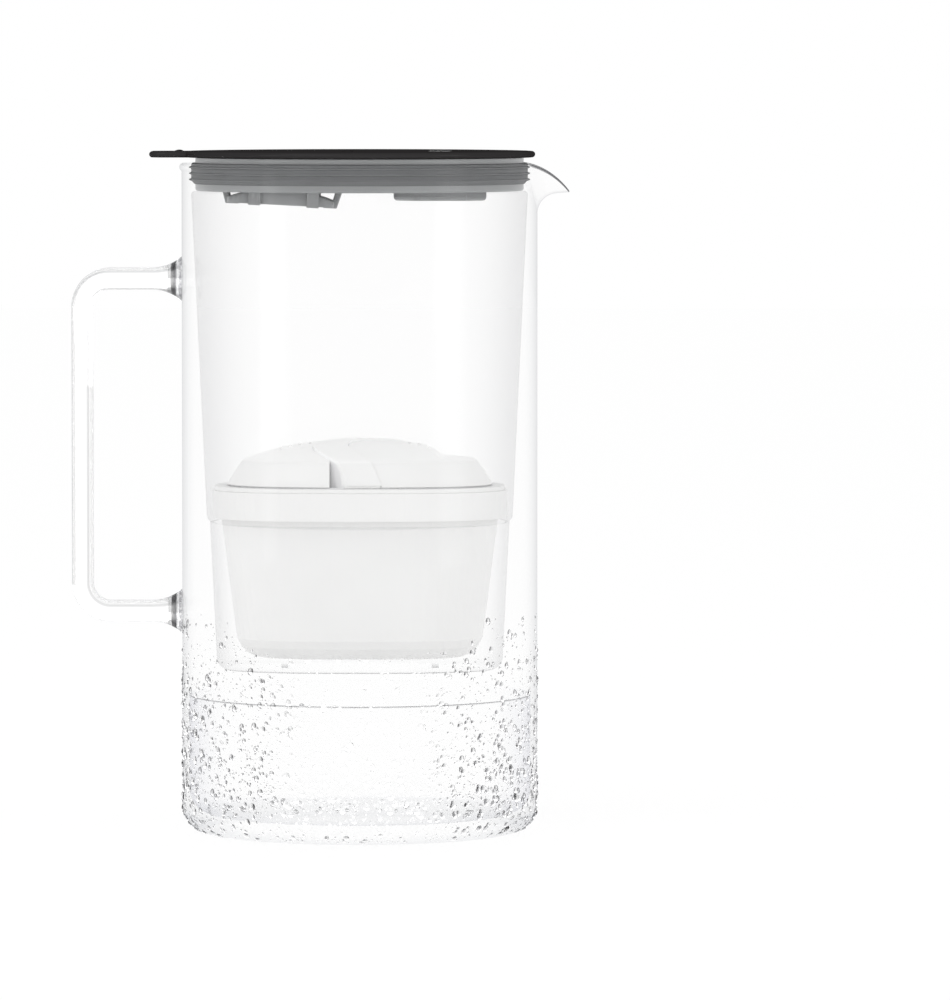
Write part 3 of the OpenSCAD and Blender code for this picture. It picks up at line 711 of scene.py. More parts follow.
FINISHES: dict[Slot, Finish] = {
    Slot.JUG_GLASS: WallFinish(
        "clear_glass",
        edge_shade_colour=(0.885, 0.888, 0.895),
        edge_from=0.6,
        wave_depth=0.01 * MM,
        foot_top=7 * MM,
    ),
    Slot.HOPPER: WallFinish(
        "clear_hopper_plastic",
        edge_shade_colour=(0.93, 0.93, 0.932),
        edge_from=0.15,
        edge_to=0.75,
        mirror=0.006,
        line_shade_colour=(0.58, 0.58, 0.585),
        near_line=True,
    ),
    Slot.GREY: MouldedFinish("grey_satin_plastic", **GREY),
    Slot.GREY_RUBBER: MouldedFinish(
        "grey_rubber", (0.185, 0.19, 0.194), 0.7, grain_depth=0.01 * MM, specular=0.15
    ),
    Slot.WHITE_RUBBER: MouldedFinish("white_rubber", (0.85, 0.85, 0.84), 0.55, specular=0.3),
    Slot.CARTRIDGE: MouldedFinish("milky_cartridge_plastic", **MILKY),
    Slot.MESH: MeshFinish("white_filter_mesh", (0.85, 0.86, 0.87), (0.45, 0.47, 0.5)),
    Slot.GRANULES: GranuleFinish("filter_granules", (0.03, 0.03, 0.03), (0.55, 0.5, 0.38)),
    Slot.BLACK: VelvetFinish(
        "black_satin_plastic", (0.022, 0.0203, 0.0208), 0.6, specular=0.0, coat=0.4
    ),
    Slot.BUTTON: MouldedFinish("button_rubbery_plastic", (0.035, 0.035, 0.037), 0.55, specular=0.3),
    Slot.BOARD: MouldedFinish(
        "green_solder_resist", (0.02, 0.12, 0.05), 0.3, colour_spread=0.15, coat=0.3
    ),
    Slot.CONTACT: MetalFinish("plated_contact", (0.8, 0.7, 0.42)),
    Slot.STEEL: MetalFinish("bright_steel", (0.72, 0.72, 0.73)),
    Slot.BLACK_RUBBER: MouldedFinish("black_rubber", (0.02, 0.02, 0.02), 0.6, specular=0.3),
    Slot.WINDOW: MouldedFinish("smoked_window", (0.03, 0.033, 0.036), 0.08, 0.02, coat=0.5),
}

ROD = RodFinish(
    "clear_glass_rod", 1.47, edge_shade_colour=(0.78, 0.785, 0.79), edge_from=0.35, edge_to=0.9, unbent=0.5
)
WATER = WallFinish(
    "water",
    edge_shade_colour=(0.93, 0.932, 0.95),
    edge_from=0.3,
    edge_to=0.95,
    mirror=0.01,
    glare=0.2,
    line_shade_colour=(0.3, 0.3, 0.31),
    near_line=True,
)
DEW = DewFinish("dew", 1.33, edge_shade_colour=(0.5, 0.5, 0.51), edge_from=0.45, edge_to=0.95)
COLLAR = CollarFinish("grey_collar_plastic", **GREY)
# painted light: a paler copy of the grey plastic, for the guard in the shade under the lid
GUARD_PAINTED_LIGHT = MouldedFinish("grey_guard_plastic", (0.385, 0.394, 0.4), 0.36)
CAP = CapFinish("milky_cap_plastic", **MILKY)


# ---------------------------------------------------------------------------------------------
# modelling
# ---------------------------------------------------------------------------------------------


class Bench:
    """The steps that every piece is modelled with."""

    @staticmethod
    def clear() -> None:
        """Deselects everything, in object mode."""
        if bpy.context.object and bpy.context.object.mode != "OBJECT":
            bpy.ops.object.mode_set(mode="OBJECT")
        bpy.ops.object.select_all(action="DESELECT")

    @staticmethod
    def pick(piece: Piece) -> None:
        """Selects one piece alone and makes it the active one.

        Args:
            piece: the piece.
        """
        Bench.clear()
        piece.select_set(True)
        bpy.context.view_layer.objects.active = piece

    @staticmethod
    def from_rings(name: str, rings: Sequence[Ring], closed: bool = False) -> Piece:
        """Grows a skin ring by ring, each extruded from the one before.

        Args:
            name: the piece's name.
            rings: loops of points, all with as many points.
            closed: whether the last ring joins the first, instead of both being capped.

        Returns:
            The piece, with its normals outwards.
        """
        Bench.clear()
        bpy.ops.mesh.primitive_circle_add(vertices=len(rings[0]), radius=MM, location=(0, 0, 0))
        piece = bpy.context.object
        piece.name = piece.data.name = name
        bpy.ops.object.mode_set(mode="EDIT")
        bpy.ops.mesh.select_all(action="SELECT")
        mesh = bmesh.from_edit_mesh(piece.data)
        station = mesh.verts.layers.int.new("station")
        for index, vertex in enumerate(sorted(mesh.verts, key=lambda v: v.index)):
            vertex[station] = index
            vertex.co = rings[0][index]
        if not closed:
            bpy.ops.mesh.edge_face_add()
            bpy.ops.mesh.select_mode(type="VERT")
        for ring in rings[1:]:
            if closed or ring is not rings[1]:
                bpy.ops.mesh.extrude_region_move()
            else:
                bpy.ops.mesh.extrude_edges_move()
            mesh = bmesh.from_edit_mesh(piece.data)
            station = mesh.verts.layers.int["station"]
            for vertex in mesh.verts:
                if vertex.select:
                    vertex.co = ring[vertex[station]]
            bmesh.update_edit_mesh(piece.data, loop_triangles=False, destructive=False)
        if not closed:
            bpy.ops.mesh.edge_face_add()
        bpy.ops.mesh.select_all(action="SELECT")
        bpy.ops.mesh.remove_doubles(threshold=0.002 * MM)
        bpy.ops.mesh.normals_make_consistent(inside=False)
        bpy.ops.object.mode_set(mode="OBJECT")
        piece.data.attributes.remove(piece.data.attributes["station"])
        return piece

    @staticmethod
    def prism(name: str, outline: Sequence, low: float, high: float, along: Along) -> Piece:
        """Draws an outline out along an axis.

        Args:
            name: the piece's name.
            outline: the outline's points, as X and the other of Y and Z.
            low: where the prism begins on the axis.
            high: where it ends.
            along: the axis.

        Returns:
            The prism.
        """
        rings = []
        for level in (low, high):
            if along is Along.Z:
                rings.append([Vector((a, b, level)) for a, b in outline])
            else:
                rings.append([Vector((a, level, b)) for a, b in outline])
        return Bench.from_rings(name, rings)

    @staticmethod
    def mark(piece: Piece, name: str, values: Sequence[float]) -> None:
        """Writes one value for each of a piece's vertices.

        Args:
            piece: the piece.
            name: the value's name, which its finish reads.
            values: the values, in the order of the vertices.
        """
        piece.data.attributes.new(name, "FLOAT", "POINT").data.foreach_set("value", list(values))

    @staticmethod
    def mark_outer(piece: Piece) -> None:
        """Notes how squarely each vertex faces away from the jug's axis, from 0 to 1.

        The jug's inner floor is noted with a low value, so that its painted shade and its glare show
        faintly.

        Args:
            piece: the piece.
        """
        values = []
        for vertex in piece.data.vertices:
            away = Vector((vertex.co.x, vertex.co.y, 0.0)).normalized()
            inside_floor = vertex.normal.z > 0.9 and vertex.co.z < 9 * MM
            values.append(0.4 if inside_floor else min(max(1.6 * vertex.normal.dot(away), 0.0), 1.0))
        Bench.mark(piece, "outer", values)

    @staticmethod
    def block(name: str, low: Vector, high: Vector) -> Piece:
        """Adds a block between two corners.

        Args:
            name: its name.
            low: the lowest corner.
            high: the highest corner.

        Returns:
            The block, with its place in its mesh.
        """
        Bench.clear()
        bpy.ops.mesh.primitive_cube_add(size=1, location=(0, 0, 0))
        piece = bpy.context.object
        piece.name = piece.data.name = name
        for vertex in piece.data.vertices:
            vertex.co = [(low[i] + high[i]) / 2 + vertex.co[i] * (high[i] - low[i]) for i in range(3)]
        return piece

    @staticmethod
    def join(pieces: Sequence[Piece]) -> Piece:
        """Joins several meshes into the first.

        Args:
            pieces: the meshes.

        Returns:
            The first piece, which now holds them all.
        """
        Bench.pick(pieces[0])
        for piece in pieces[1:]:
            piece.select_set(True)
        bpy.ops.object.join()
        return pieces[0]

    @staticmethod
    def work(piece: Piece, tool: Piece, how: Join) -> None:
        """Cuts, welds or intersects a piece with a tool, which is used up.

        Args:
            piece: the piece that stays.
            tool: the mesh that it is worked with.
            how: what is done.
        """
        change = piece.modifiers.new("work", "BOOLEAN")
        change.operation = how.value
        change.solver = "EXACT"
        change.object = tool
        Bench.apply(piece)
        bpy.data.meshes.remove(tool.data)

    @staticmethod
    def apply(piece: Piece) -> None:
        """Applies every modifier on a piece.

        Args:
            piece: the piece.
        """
        Bench.pick(piece)
        for change in list(piece.modifiers):
            bpy.ops.object.modifier_apply(modifier=change.name)

    @staticmethod
    def soften(piece: Piece, width: float, segments: int = 2, angle: float = 32.0) -> None:
        """Rounds the sharp edges of a piece.

        Args:
            piece: the piece.
            width: how far the rounding reaches from the edge.
            segments: the steps of the rounding.
            angle: the least angle, in degrees, that counts as sharp.
        """
        change = piece.modifiers.new("soften", "BEVEL")
        change.width = width
        change.segments = segments
        change.limit_method = "ANGLE"
        change.angle_limit = math.radians(angle)
        change.harden_normals = False
        Bench.apply(piece)

    @staticmethod
    def smooth(piece: Piece, angle: float = 32.0) -> None:
        """Shades a piece smooth, apart from its sharp edges."""
        Bench.pick(piece)
        bpy.ops.object.shade_smooth_by_angle(angle=math.radians(angle))


class Dresser:
    """Gives pieces and frame nodes the finish of their slot, and new pieces their body."""

    def __init__(self) -> None:
        """Starts with no material made."""
        self.made: dict[str, bpy.types.Material] = {}

    def material(self, finish: Finish) -> bpy.types.Material:
        """The material of a finish, made once.

        Args:
            finish: the finish.

        Returns:
            The material.
        """
        if finish.name not in self.made:
            self.made[finish.name] = finish.make()
        return self.made[finish.name]

    def dress(
        self,
        piece: Piece,
        body: Body,
        slot: Slot,
        replaces: Sequence[str] = (),
        finish: Finish | None = None,
    ) -> Piece:
        """Finishes a new piece.

        Args:
            piece: the piece.
            body: the body that it rides on.
            slot: the record's slot that it takes its finish from.
            replaces: the frame's nodes that it stands for.
            finish: another finish than the slot's own.

        Returns:
            The piece.
        """
        piece.data.materials.clear()
        piece.data.materials.append(self.material(finish or FINISHES[slot]))
        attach(piece, body.value)
        if replaces:
            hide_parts(*replaces)
        LOG.info("%s rides on %s: %d faces", piece.name, body.value, len(piece.data.polygons))
        return piece

    def dress_nodes(self, slot: Slot, *nodes: str, finish: Finish | None = None) -> None:
        """Gives frame nodes the finish of their slot.

        Args:
            slot: the slot.
            nodes: the nodes' names.
            finish: another finish than the slot's own.
        """
        for name in nodes:
            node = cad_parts[name]
            node.data.materials.clear()
            node.data.materials.append(self.material(finish or FINISHES[slot]))
            LOG.info("%s keeps its own mesh, in %s", name, slot.value)


def circle(radius: float, height: float, sides: int) -> Ring:
    """A level ring about the jug's axis.

    Args:
        radius: its radius.
        height: its height.
        sides: how many points it has.

    Returns:
        The points.
    """
    return oval(radius, radius, height, sides, 2.0)


def oval(half_x: float, half_y: float, height: float, sides: int, power: float = 2.6) -> Ring:
    """A level oval ring about the jug's axis.

    Args:
        half_x: half its length.
        half_y: half its width.
        height: its height.
        sides: how many points it has.
        power: 2 is an ellipse, and more is squarer.

    Returns:
        The points.
    """
    points = []
    for i in range(sides):
        turn = FULL_TURN * i / sides
        c, s = math.cos(turn), math.sin(turn)
        x = half_x * math.copysign(abs(c) ** (2 / power), c)
        y = half_y * math.copysign(abs(s) ** (2 / power), s)
        points.append(Vector((x, y, height)))
    return points


def arc(centre: Pair, radius: float, start: float, end: float, steps: int) -> list:
    """Points along an arc in a section, as radius and height.

    Args:
        centre: the arc's centre.
        radius: its radius.
        start: its first angle, in degrees from outwards.
        end: its last angle.
        steps: how many steps it has.

    Returns:
        The points.
    """
    turns = [math.radians(start + (end - start) * i / steps) for i in range(steps + 1)]
    return [(centre[0] + radius * math.cos(t), centre[1] + radius * math.sin(t)) for t in turns]


def ease(value: float, low: float, high: float) -> float:
    """Smooth step of a value, from 0 at low to 1 at high."""
    share = min(max((value - low) / (high - low), 0.0), 1.0)
    return share * share * (3 - 2 * share)


def climb(start: Pair, end: Pair, steps: int) -> list:
    """Even points between two points of a section, with neither end.

    Args:
        start: the one point, as radius and height.
        end: the other.
        steps: how many steps the way between them has.

    Returns:
        The points.
    """
    return [
        (start[0] + (end[0] - start[0]) * i / steps, start[1] + (end[1] - start[1]) * i / steps)
        for i in range(1, steps)
    ]


# ---------------------------------------------------------------------------------------------
# jug
# ---------------------------------------------------------------------------------------------


@dataclass
class Spout:
    """The lip that is pulled out of the rim."""

    reach: float = 11.9 * MM
    droop: float = 8.8 * MM
    sag: float = 2.0
    thinning: float = 0.6
    half_angle: float = math.radians(24)
    under_radius: float = 7 * MM
    tip_bend: float = math.radians(88)
    bend_power: float = 0.6
    line_from: float = 0.12
    foot_drop: float = 6.5 * MM

    def strength(self, angle: float) -> float:
        """How far the lip is pulled at an angle from its middle, from 0 to 1.

        Args:
            angle: the angle, in radians.

        Returns:
            The share.
        """
        if abs(angle) >= self.half_angle:
            return 0.0
        return math.cos(math.pi / 2 * angle / self.half_angle) ** 2

    def pull(self, jug: GlassJug, piece: Piece) -> None:
        """Bends the rim of the jug outwards over the lip's angle, and notes where its painted shade line
        goes.

        Args:
            jug: the jug.
            piece: its mesh, with a straight rim.
        """
        half = jug.wall / 2
        middle = jug.radius - half
        rho = self.under_radius + half
        foot = jug.height - self.droop - rho - self.foot_drop
        tip_run = (self.reach - rho * (1 - math.cos(self.tip_bend))) / math.sin(self.tip_bend)
        straight_top = jug.height - jug.bead - foot
        line = [0.0] * len(piece.data.vertices)
        for vertex in piece.data.vertices:
            x, y, z = vertex.co
            angle = math.atan2(y, x)
            pulled = self.strength(angle)
            # notes the painted shade line along the lip's rim
            if z > jug.height - 0.5 * jug.bead:
                line[vertex.index] = min(pulled / self.line_from, 1.0)
            if pulled == 0.0 or z <= foot:
                continue
            bend = self.tip_bend * pulled**self.bend_power
            bead = jug.bead + (half - jug.bead) * pulled
            run = tip_run * pulled
            end = jug.height - self.droop * pulled**self.sag - bead
            start = end - rho * math.sin(bend) - run * math.cos(bend) - foot
            length = start + rho * bend + run
            off = math.hypot(x, y) - middle
            over = max(0.0, z - foot - straight_top) * bead / jug.bead
            if off > half:
                off = half + (off - half) * (1 - pulled)
            along = min(z - foot, straight_top) * length / straight_top
            turned = min(max(along - start, 0.0), rho * bend) / rho
            thinner = 1 - self.thinning * pulled * min(
                max(along - start, 0.0) / (rho * bend + run), 1.0
            )
            off *= thinner
            past = max(along - start - rho * bend, 0.0) + over * thinner
            radius = middle + rho * (1 - math.cos(turned)) + past * math.sin(turned)
            height = foot + min(along, start) + rho * math.sin(turned) + past * math.cos(turned)
            radius += off * math.cos(turned)
            height -= off * math.sin(turned)
            vertex.co = (radius * math.cos(angle), radius * math.sin(angle), height)
        Bench.mark(piece, "line", line)


@dataclass
class GlassJug:
    """The glass: a thick-based cylinder with a lip, and its rod handle."""

    radius: float = 62.5 * MM
    height: float = 235.5 * MM
    wall: float = 2.4 * MM
    base: float = 6.5 * MM
    corner: float = 9.5 * MM
    fillet: float = 8.5 * MM
    bead: float = 1.6 * MM
    centre: float = 4 * MM
    lip_zone: float = 24 * MM
    sides: int = 320
    spout: Spout = field(default_factory=Spout)
    rod: float = 3.9 * MM
    reach: float = 35 * MM
    drop: float = 40.8 * MM
    span: float = 117 * MM
    bend: float = 10 * MM
    root: float = 10.5 * MM
    root_curve: float = 16 * MM
    weld_gap: float = 0.02 * MM
    rod_sides: int = 64
    arm_steps: int = 14
    bend_steps: int = 18

    def section(self) -> list[Pair]:
        """Section of the glass, from the middle of the base round to the middle of the floor.

        Returns:
            Its points, as radius and height.
        """
        inner = self.radius - self.wall
        lip_start = self.height - self.lip_zone
        neck = math.acos((self.wall - self.bead) / self.bead)
        turn = math.degrees(neck)
        bead_height = self.height - self.bead
        outer_top = (self.radius, bead_height - self.bead * math.sin(neck))
        floor_edge = inner - self.fillet
        return [
            (self.centre, 0.0),
            *climb((self.centre, 0.0), (self.radius - self.corner, 0.0), 6),
            *arc((self.radius - self.corner, self.corner), self.corner, -90, 0, 14),
            *climb((self.radius, self.corner), (self.radius, lip_start), 8),
            (self.radius, lip_start),
            *climb((self.radius, lip_start), outer_top, 22),
            *arc((inner + self.bead, bead_height), self.bead, -turn, 180, 16),
            *climb((inner, bead_height), (inner, lip_start), 22),
            (inner, lip_start),
            *climb((inner, lip_start), (inner, self.base + self.fillet), 8),
            *arc((floor_edge, self.base + self.fillet), self.fillet, 0, -90, 12),
            *climb((floor_edge, self.base), (self.centre, self.base), 6),
            (self.centre, self.base),
        ]

    def body(self) -> Piece:
        """The jug without its handle.

        Returns:
            The piece.
        """
        rings = [circle(r, z, self.sides) for r, z in self.section()]
        piece = Bench.from_rings("glass_jug", rings)
        Bench.mark_outer(piece)
        self.spout.pull(self, piece)
        Bench.smooth(piece, 40)
        return piece

    def arm(self, height: float, out: Vector) -> list[tuple[Vector, Vector, float]]:
        """Stations of the rod along one arm, from its bend to the wall.

        Args:
            height: the height of the arm.
            out: the direction outwards from the bend.

        Returns:
            The middle points, the direction outwards and the radii.
        """
        stations = []
        for i in range(self.arm_steps + 1):
            run = self.root * i / self.arm_steps
            flare = self.rod + self.root_curve - math.sqrt(self.root_curve**2 - run**2)
            stations.append((Vector((-self.radius - self.root + run, 0, height)), out, flare))
        return stations

    def rod_path(self) -> list[tuple[Vector, Vector, float]]:
        """Stations of the whole rod, from the upper weld round to the lower.

        Returns:
            The middle points, the directions outwards from the bends and the radii.
        """
        top = self.height - self.drop
        low = top - self.span
        bend_x = self.bend - self.radius - self.reach
        bends = []
        for lower, height in enumerate((top - self.bend, low + self.bend)):
            centre = Vector((bend_x, 0, height))
            for i in range(self.bend_steps + 1):
                turn = math.pi / 2 * i / self.bend_steps
                s, c = math.sin(turn), math.cos(turn)
                out = Vector((-c, 0, -s)) if lower else Vector((-s, 0, c))
                bends.append((centre + out * self.bend, out, self.rod))
        upper = self.arm(top, Vector((0, 0, 1)))
        return [*reversed(upper), *bends, *self.arm(low, Vector((0, 0, -1)))]

    def handle(self) -> Piece:
        """The bent rod, flared where it is welded to the wall.

        Returns:
            The piece.
        """
        rings = []
        for middle, out, radius in self.rod_path():
            ring = []
            for i in range(self.rod_sides):
                turn = FULL_TURN * i / self.rod_sides
                point = middle + radius * (math.cos(turn) * out + math.sin(turn) * Vector((0, 1, 0)))
                wall = -math.sqrt(max(self.radius**2 - point.y**2, 0.0)) - self.weld_gap
                point.x = min(point.x, wall)
                ring.append(point)
            rings.append(ring)
        piece = Bench.from_rings("glass_handle", rings)
        self.mark_rod(piece)
        Bench.smooth(piece, 40)
        return piece

    def mark_rod(self, piece: Piece) -> None:
        """Notes how far out each vertex of the rod lies, and how far past the upper bend.

        Args:
            piece: the rod's mesh.
        """
        path = self.rod_path()
        first = next(i for i, (_, out, _) in enumerate(path) if out.x < 0)
        last = next(i for i, (_, out, _) in enumerate(path) if out.z <= 0)
        outward, turned = [], []
        for vertex in piece.data.vertices:
            index = min(range(len(path)), key=lambda i: (path[i][0] - vertex.co).length_squared)
            middle, out, radius = path[index]
            outward.append((vertex.co - middle).dot(out) / radius)
            turned.append(min(max((index - first) / (last - first), 0.0), 1.0))
        Bench.mark(piece, "outward", outward)
        Bench.mark(piece, "turned", turned)

    def build(self, dresser: Dresser) -> None:
        """Builds and dresses the glass."""
        dresser.dress(self.body(), Body.JUG, Slot.JUG_GLASS, ["jug_body"])
        dresser.dress(self.handle(), Body.JUG, Slot.JUG_GLASS, ["jug_handle"], ROD)


# ---------------------------------------------------------------------------------------------
# hopper
# ---------------------------------------------------------------------------------------------


@dataclass
class Hopper:
    """The clear hopper with its oval well, and the collar that hangs it in the glass."""

    shoulder_radius: float = 59.1 * MM
    shoulder_height: float = 225.6 * MM
    shoulder_round: float = 1.4 * MM
    neck_radius: float = 55.7 * MM
    neck_top: float = 236.55 * MM
    wall: float = 1.6 * MM
    seat: float = 110.7 * MM
    seat_radius: float = 53.88 * MM
    seat_round: float = 2.6 * MM
    inner_round: float = 0.7 * MM
    well: float = 57.4 * MM
    well_floor: float = 59.2 * MM
    well_corner: float = 4 * MM
    well_lean: float = math.tan(math.radians(2.5))
    mouth_x: float = 50.18 * MM
    mouth_y: float = 31.8 * MM
    outlet_radius: float = 1.2 * MM
    outlet_place: float = 26.5 * MM
    sides: int = 256

    def well_rings(self, grow: Pair, top: float, floor: float, corner: float) -> list[Ring]:
        """Rings of one skin of the well, from its mouth down to its floor.

        Args:
            grow: how much larger than the mouth the skin is, in length and width.
            top: the height of its mouth.
            floor: the height of its floor.
            corner: the radius where the wall turns into the floor.

        Returns:
            The rings.
        """
        depth = self.seat - floor
        mouth = self.mouth_x + grow[0], self.mouth_y + grow[1]
        low = [half - depth * self.well_lean for half in mouth]
        rings = [oval(*mouth, top, self.sides)]
        steps = 8
        for i in range(steps + 1):
            turn = math.pi / 2 * i / steps
            draw = corner * (1 - math.cos(turn))
            height = floor + corner * (1 - math.sin(turn))
            rings.append(oval(low[0] - draw, low[1] - draw, height, self.sides))
        for share in (0.66, 0.33, 0.06):
            half_x, half_y = (share * (half - corner) for half in low)
            rings.append(oval(half_x, half_y, floor, self.sides, 2.0 + 0.6 * share))
        return rings

    def outer_section(self) -> list[Pair]:
        """Section of the tank's outer skin, from the neck's top down to the seat.

        Returns:
            Its points, as radius and height.
        """
        neck, shoulder, turn = self.neck_radius, self.shoulder_height, self.shoulder_round
        return [
            (neck, self.neck_top),
            *climb((neck, self.neck_top), (neck, shoulder), 4),
            (neck, shoulder + 0.3 * MM),
            (neck + 0.3 * MM, shoulder),
            *arc((self.shoulder_radius - turn, shoulder - turn), turn, 90, 0, 8),
            *climb(
                (self.shoulder_radius, shoulder - turn), (self.seat_radius, self.seat + 1.6 * MM), 12
            ),
            *arc((self.seat_radius - self.seat_round, self.seat + MM), self.seat_round, 5, -90, 8),
        ]

    def inner_section(self) -> list[Pair]:
        """Section of the tank's inner skin, from the seat up past the neck's top.

        Returns:
            Its points, as radius and height.
        """
        neck, seat_radius = self.neck_radius - self.wall, self.seat_radius - self.wall
        side, shoulder = self.shoulder_radius - self.wall, self.shoulder_height - self.wall
        turn = self.inner_round
        return [
            (seat_radius - 1.2 * MM, self.seat),
            *arc((seat_radius - MM, self.seat + MM), MM, -80, 0, 5),
            *climb((seat_radius, self.seat + MM), (side, shoulder - turn), 12),
            *arc((side - turn, shoulder - turn), turn, 0, 90, 5),
            (neck + 0.4 * MM, shoulder),
            (neck, shoulder + 0.4 * MM),
            *climb((neck, self.shoulder_height), (neck, self.neck_top), 4),
            (neck, self.neck_top),
            (neck, self.neck_top + 5 * MM),
        ]

    def tank(self) -> Piece:
        """The hopper as one closed skin.

        Returns:
            The piece.
        """
        grow = (self.wall + 0.9 * MM, self.wall)
        rings = [circle(r, z, self.sides) for r, z in self.outer_section()]
        rings += self.well_rings(grow, self.seat - self.wall, self.well, self.well_corner)
        outside = Bench.from_rings("hopper", rings)
        rings = [circle(r, z, self.sides) for r, z in reversed(self.inner_section())]
        rings += self.well_rings((0.0, 0.0), self.seat, self.well_floor, self.well_corner - self.wall)
        Bench.work(outside, Bench.from_rings("hopper_inside", rings), Join.CUT)
        for side in (-1, 1):
            place = Vector((side * self.outlet_place, 0, 0))
            hole = [
                [point + place for point in circle(self.outlet_radius, height, 24)]
                for height in (self.well - 2 * MM, self.well_floor + 2 * MM)
            ]
            Bench.work(outside, Bench.from_rings("outlet", hole), Join.CUT)
        Bench.mark_outer(outside)
        # notes a painted shade line round the foot of the well
        low = self.well + 0.4 * MM
        line = [float(v.co.z < low and v.co.xy.length > 25 * MM) for v in outside.data.vertices]
        Bench.mark(outside, "line", line)
        Bench.smooth(outside, 35)
        return outside

    def build(self, dresser: Dresser) -> None:
        """Builds and dresses the hopper, and dresses its collar.

        Args:
            dresser: gives the pieces their finish.
        """
        dresser.dress(self.tank(), Body.HOPPER, Slot.HOPPER, ["hopper_tank"])
        dresser.dress_nodes(Slot.GREY, "collar_ring", finish=COLLAR)
        dresser.dress_nodes(Slot.GREY_RUBBER, "collar_gasket")


# ---------------------------------------------------------------------------------------------
# cartridge
# ---------------------------------------------------------------------------------------------


@dataclass
class CartridgeCap:
    """The cartridge's cap: a domed oval lid with an S-shaped grip and two thumb notches.

    The dome's profile gives shares of the way out from its middle, each with a height over the plate
    in millimetres. The ledge is cut along an outline of X and height, in millimetres.
    """

    plate_x: float = 50.98 * MM
    plate_y: float = 32.6 * MM
    plate_low: float = 120.6 * MM
    plate_top: float = 122.1 * MM
    half_x: float = 46.58 * MM
    half_y: float = 29 * MM
    profile: tuple = (
        (0.98, -0.4), (0.98, 0.5), (1.0, 0.52), (1.0, 0.8), (0.965, 3.2), (0.93, 5.9),
        (0.898, 8.0), (0.885, 8.7), (0.868, 9.2), (0.8, 10.45), (0.7, 11.95), (0.59, 13.3),
        (0.46, 14.5), (0.32, 15.3), (0.17, 15.75), (0.05, 15.85),
    )
    grip_width: float = 12 * MM
    grip_rise: float = 0.6 * MM
    grip_sway: float = 10 * MM
    grip_turn: float = math.radians(190)
    notch_start: float = 10.2 * MM
    ledge: tuple = (
        (23.5, 135.6), (26.0, 134.2), (28.4, 132.3), (29.6, 131.8), (39.5, 131.35), (60.0, 131.3),
        (60.0, 150.0), (23.5, 150.0),
    )
    slot_places: tuple = (0.374, 0.447, 0.52, 0.593)
    slot_half: Pair = (0.55 * MM, 6.5 * MM)
    slot_depth: float = 1.2 * MM
    groove: float = 0.45 * MM
    notch_floor: float = 0.3 * MM
    sides: int = 192

    def height(self, share: float) -> float:
        """Height of the dome over its plate, at a share of the way out from its middle.

        Args:
            share: the share, from 0 to 1.

        Returns:
            The height.
        """
        steps = sorted(self.profile)
        for (near, high), (far, low) in zip(steps, steps[1:]):
            if near <= share <= far:
                return MM * (high + (low - high) * (share - near) / max(far - near, 1e-9))
        return MM * steps[0][1]

    def dome(self, rise: float) -> Piece:
        """The dome's skin, raised evenly.

        Args:
            rise: how far it is raised, or sunk if it is below 0.

        Returns:
            The dome.
        """
        rings = []
        for share, up in self.profile:
            half_x, half_y = share * self.half_x + rise / 2, share * self.half_y + rise / 2
            rings.append(oval(half_x, half_y, self.plate_top + up * MM + rise, self.sides))
        return Bench.from_rings("dome", rings)

    def sway(self, y: float) -> float:
        """Where the middle of the grip lies at a place across the cap."""
        return self.grip_sway * math.sin(self.grip_turn * y / self.half_y)

    def band(self, left: float, right: float, low: float, steps: int = 40) -> Piece:
        """Upright band that follows the grip.

        Args:
            left: how far its left side lies from the grip's middle.
            right: how far its right side does.
            low: its lowest height.
            steps: the steps along it.

        Returns:
            The band.
        """
        reach = self.half_y + 2 * MM
        ys = [-reach + 2 * reach * i / steps for i in range(steps + 1)]
        outline = [(self.sway(y) + left, y) for y in ys]
        outline += [(self.sway(y) + right, y) for y in reversed(ys)]
        return Bench.prism("band", outline, low, self.plate_top + 30 * MM, Along.Z)

    def notch(self, turn: float) -> Piece:
        """Thumb notch beside one foot of the grip.

        Args:
            turn: how far the notch is turned round the cap.

        Returns:
            The solid that is cut away.
        """
        half = self.grip_width / 2
        reach = self.half_y + 2 * MM
        outline = []
        y = -reach
        while self.sway(y) - half > -self.notch_start + 0.1 * MM:
            outline.append((self.sway(y) - half, y))
            y += 0.5 * MM
        outline += [(-self.notch_start, y), (-self.notch_start, -reach)]
        floor = self.plate_top + self.notch_floor
        piece = Bench.prism("notch", outline, floor, floor + 30 * MM, Along.Z)
        piece.data.transform(Matrix.Rotation(turn, 4, "Z"))
        return piece

    def channel(self, left: float, right: float) -> Piece:
        """Shallow channel beside the grip, as the solid that is cut away.

        Args:
            left: how far its left side lies from the grip's middle.
            right: how far its right side does.

        Returns:
            The solid.
        """
        piece = self.band(left, right, self.plate_top)
        Bench.work(piece, self.dome(-self.groove), Join.CUT)
        return piece

    def mark_recess_shade(self, piece: Piece) -> None:
        """Notes the vertices that take painted shade: those in a notch, in a channel or under the dome's
        foot.

        Args:
            piece: the cap's mesh.
        """
        values = []
        for vertex in piece.data.vertices:
            x, y, z = vertex.co
            share = ((abs(x) / self.half_x) ** 2.6 + (abs(y) / self.half_y) ** 2.6) ** (1 / 2.6)
            above = z - self.plate_top
            sunk = abs(x) < 20 * MM and share < 0.95 and above < self.height(share) - 0.2 * MM
            foot = share < 0.99 and above < 0.51 * MM
            notched = abs(above - self.notch_floor) < 0.02 * MM
            values.append(float((sunk or foot or notched) and above > -0.01 * MM))
        Bench.mark(piece, "recess_shade", values)

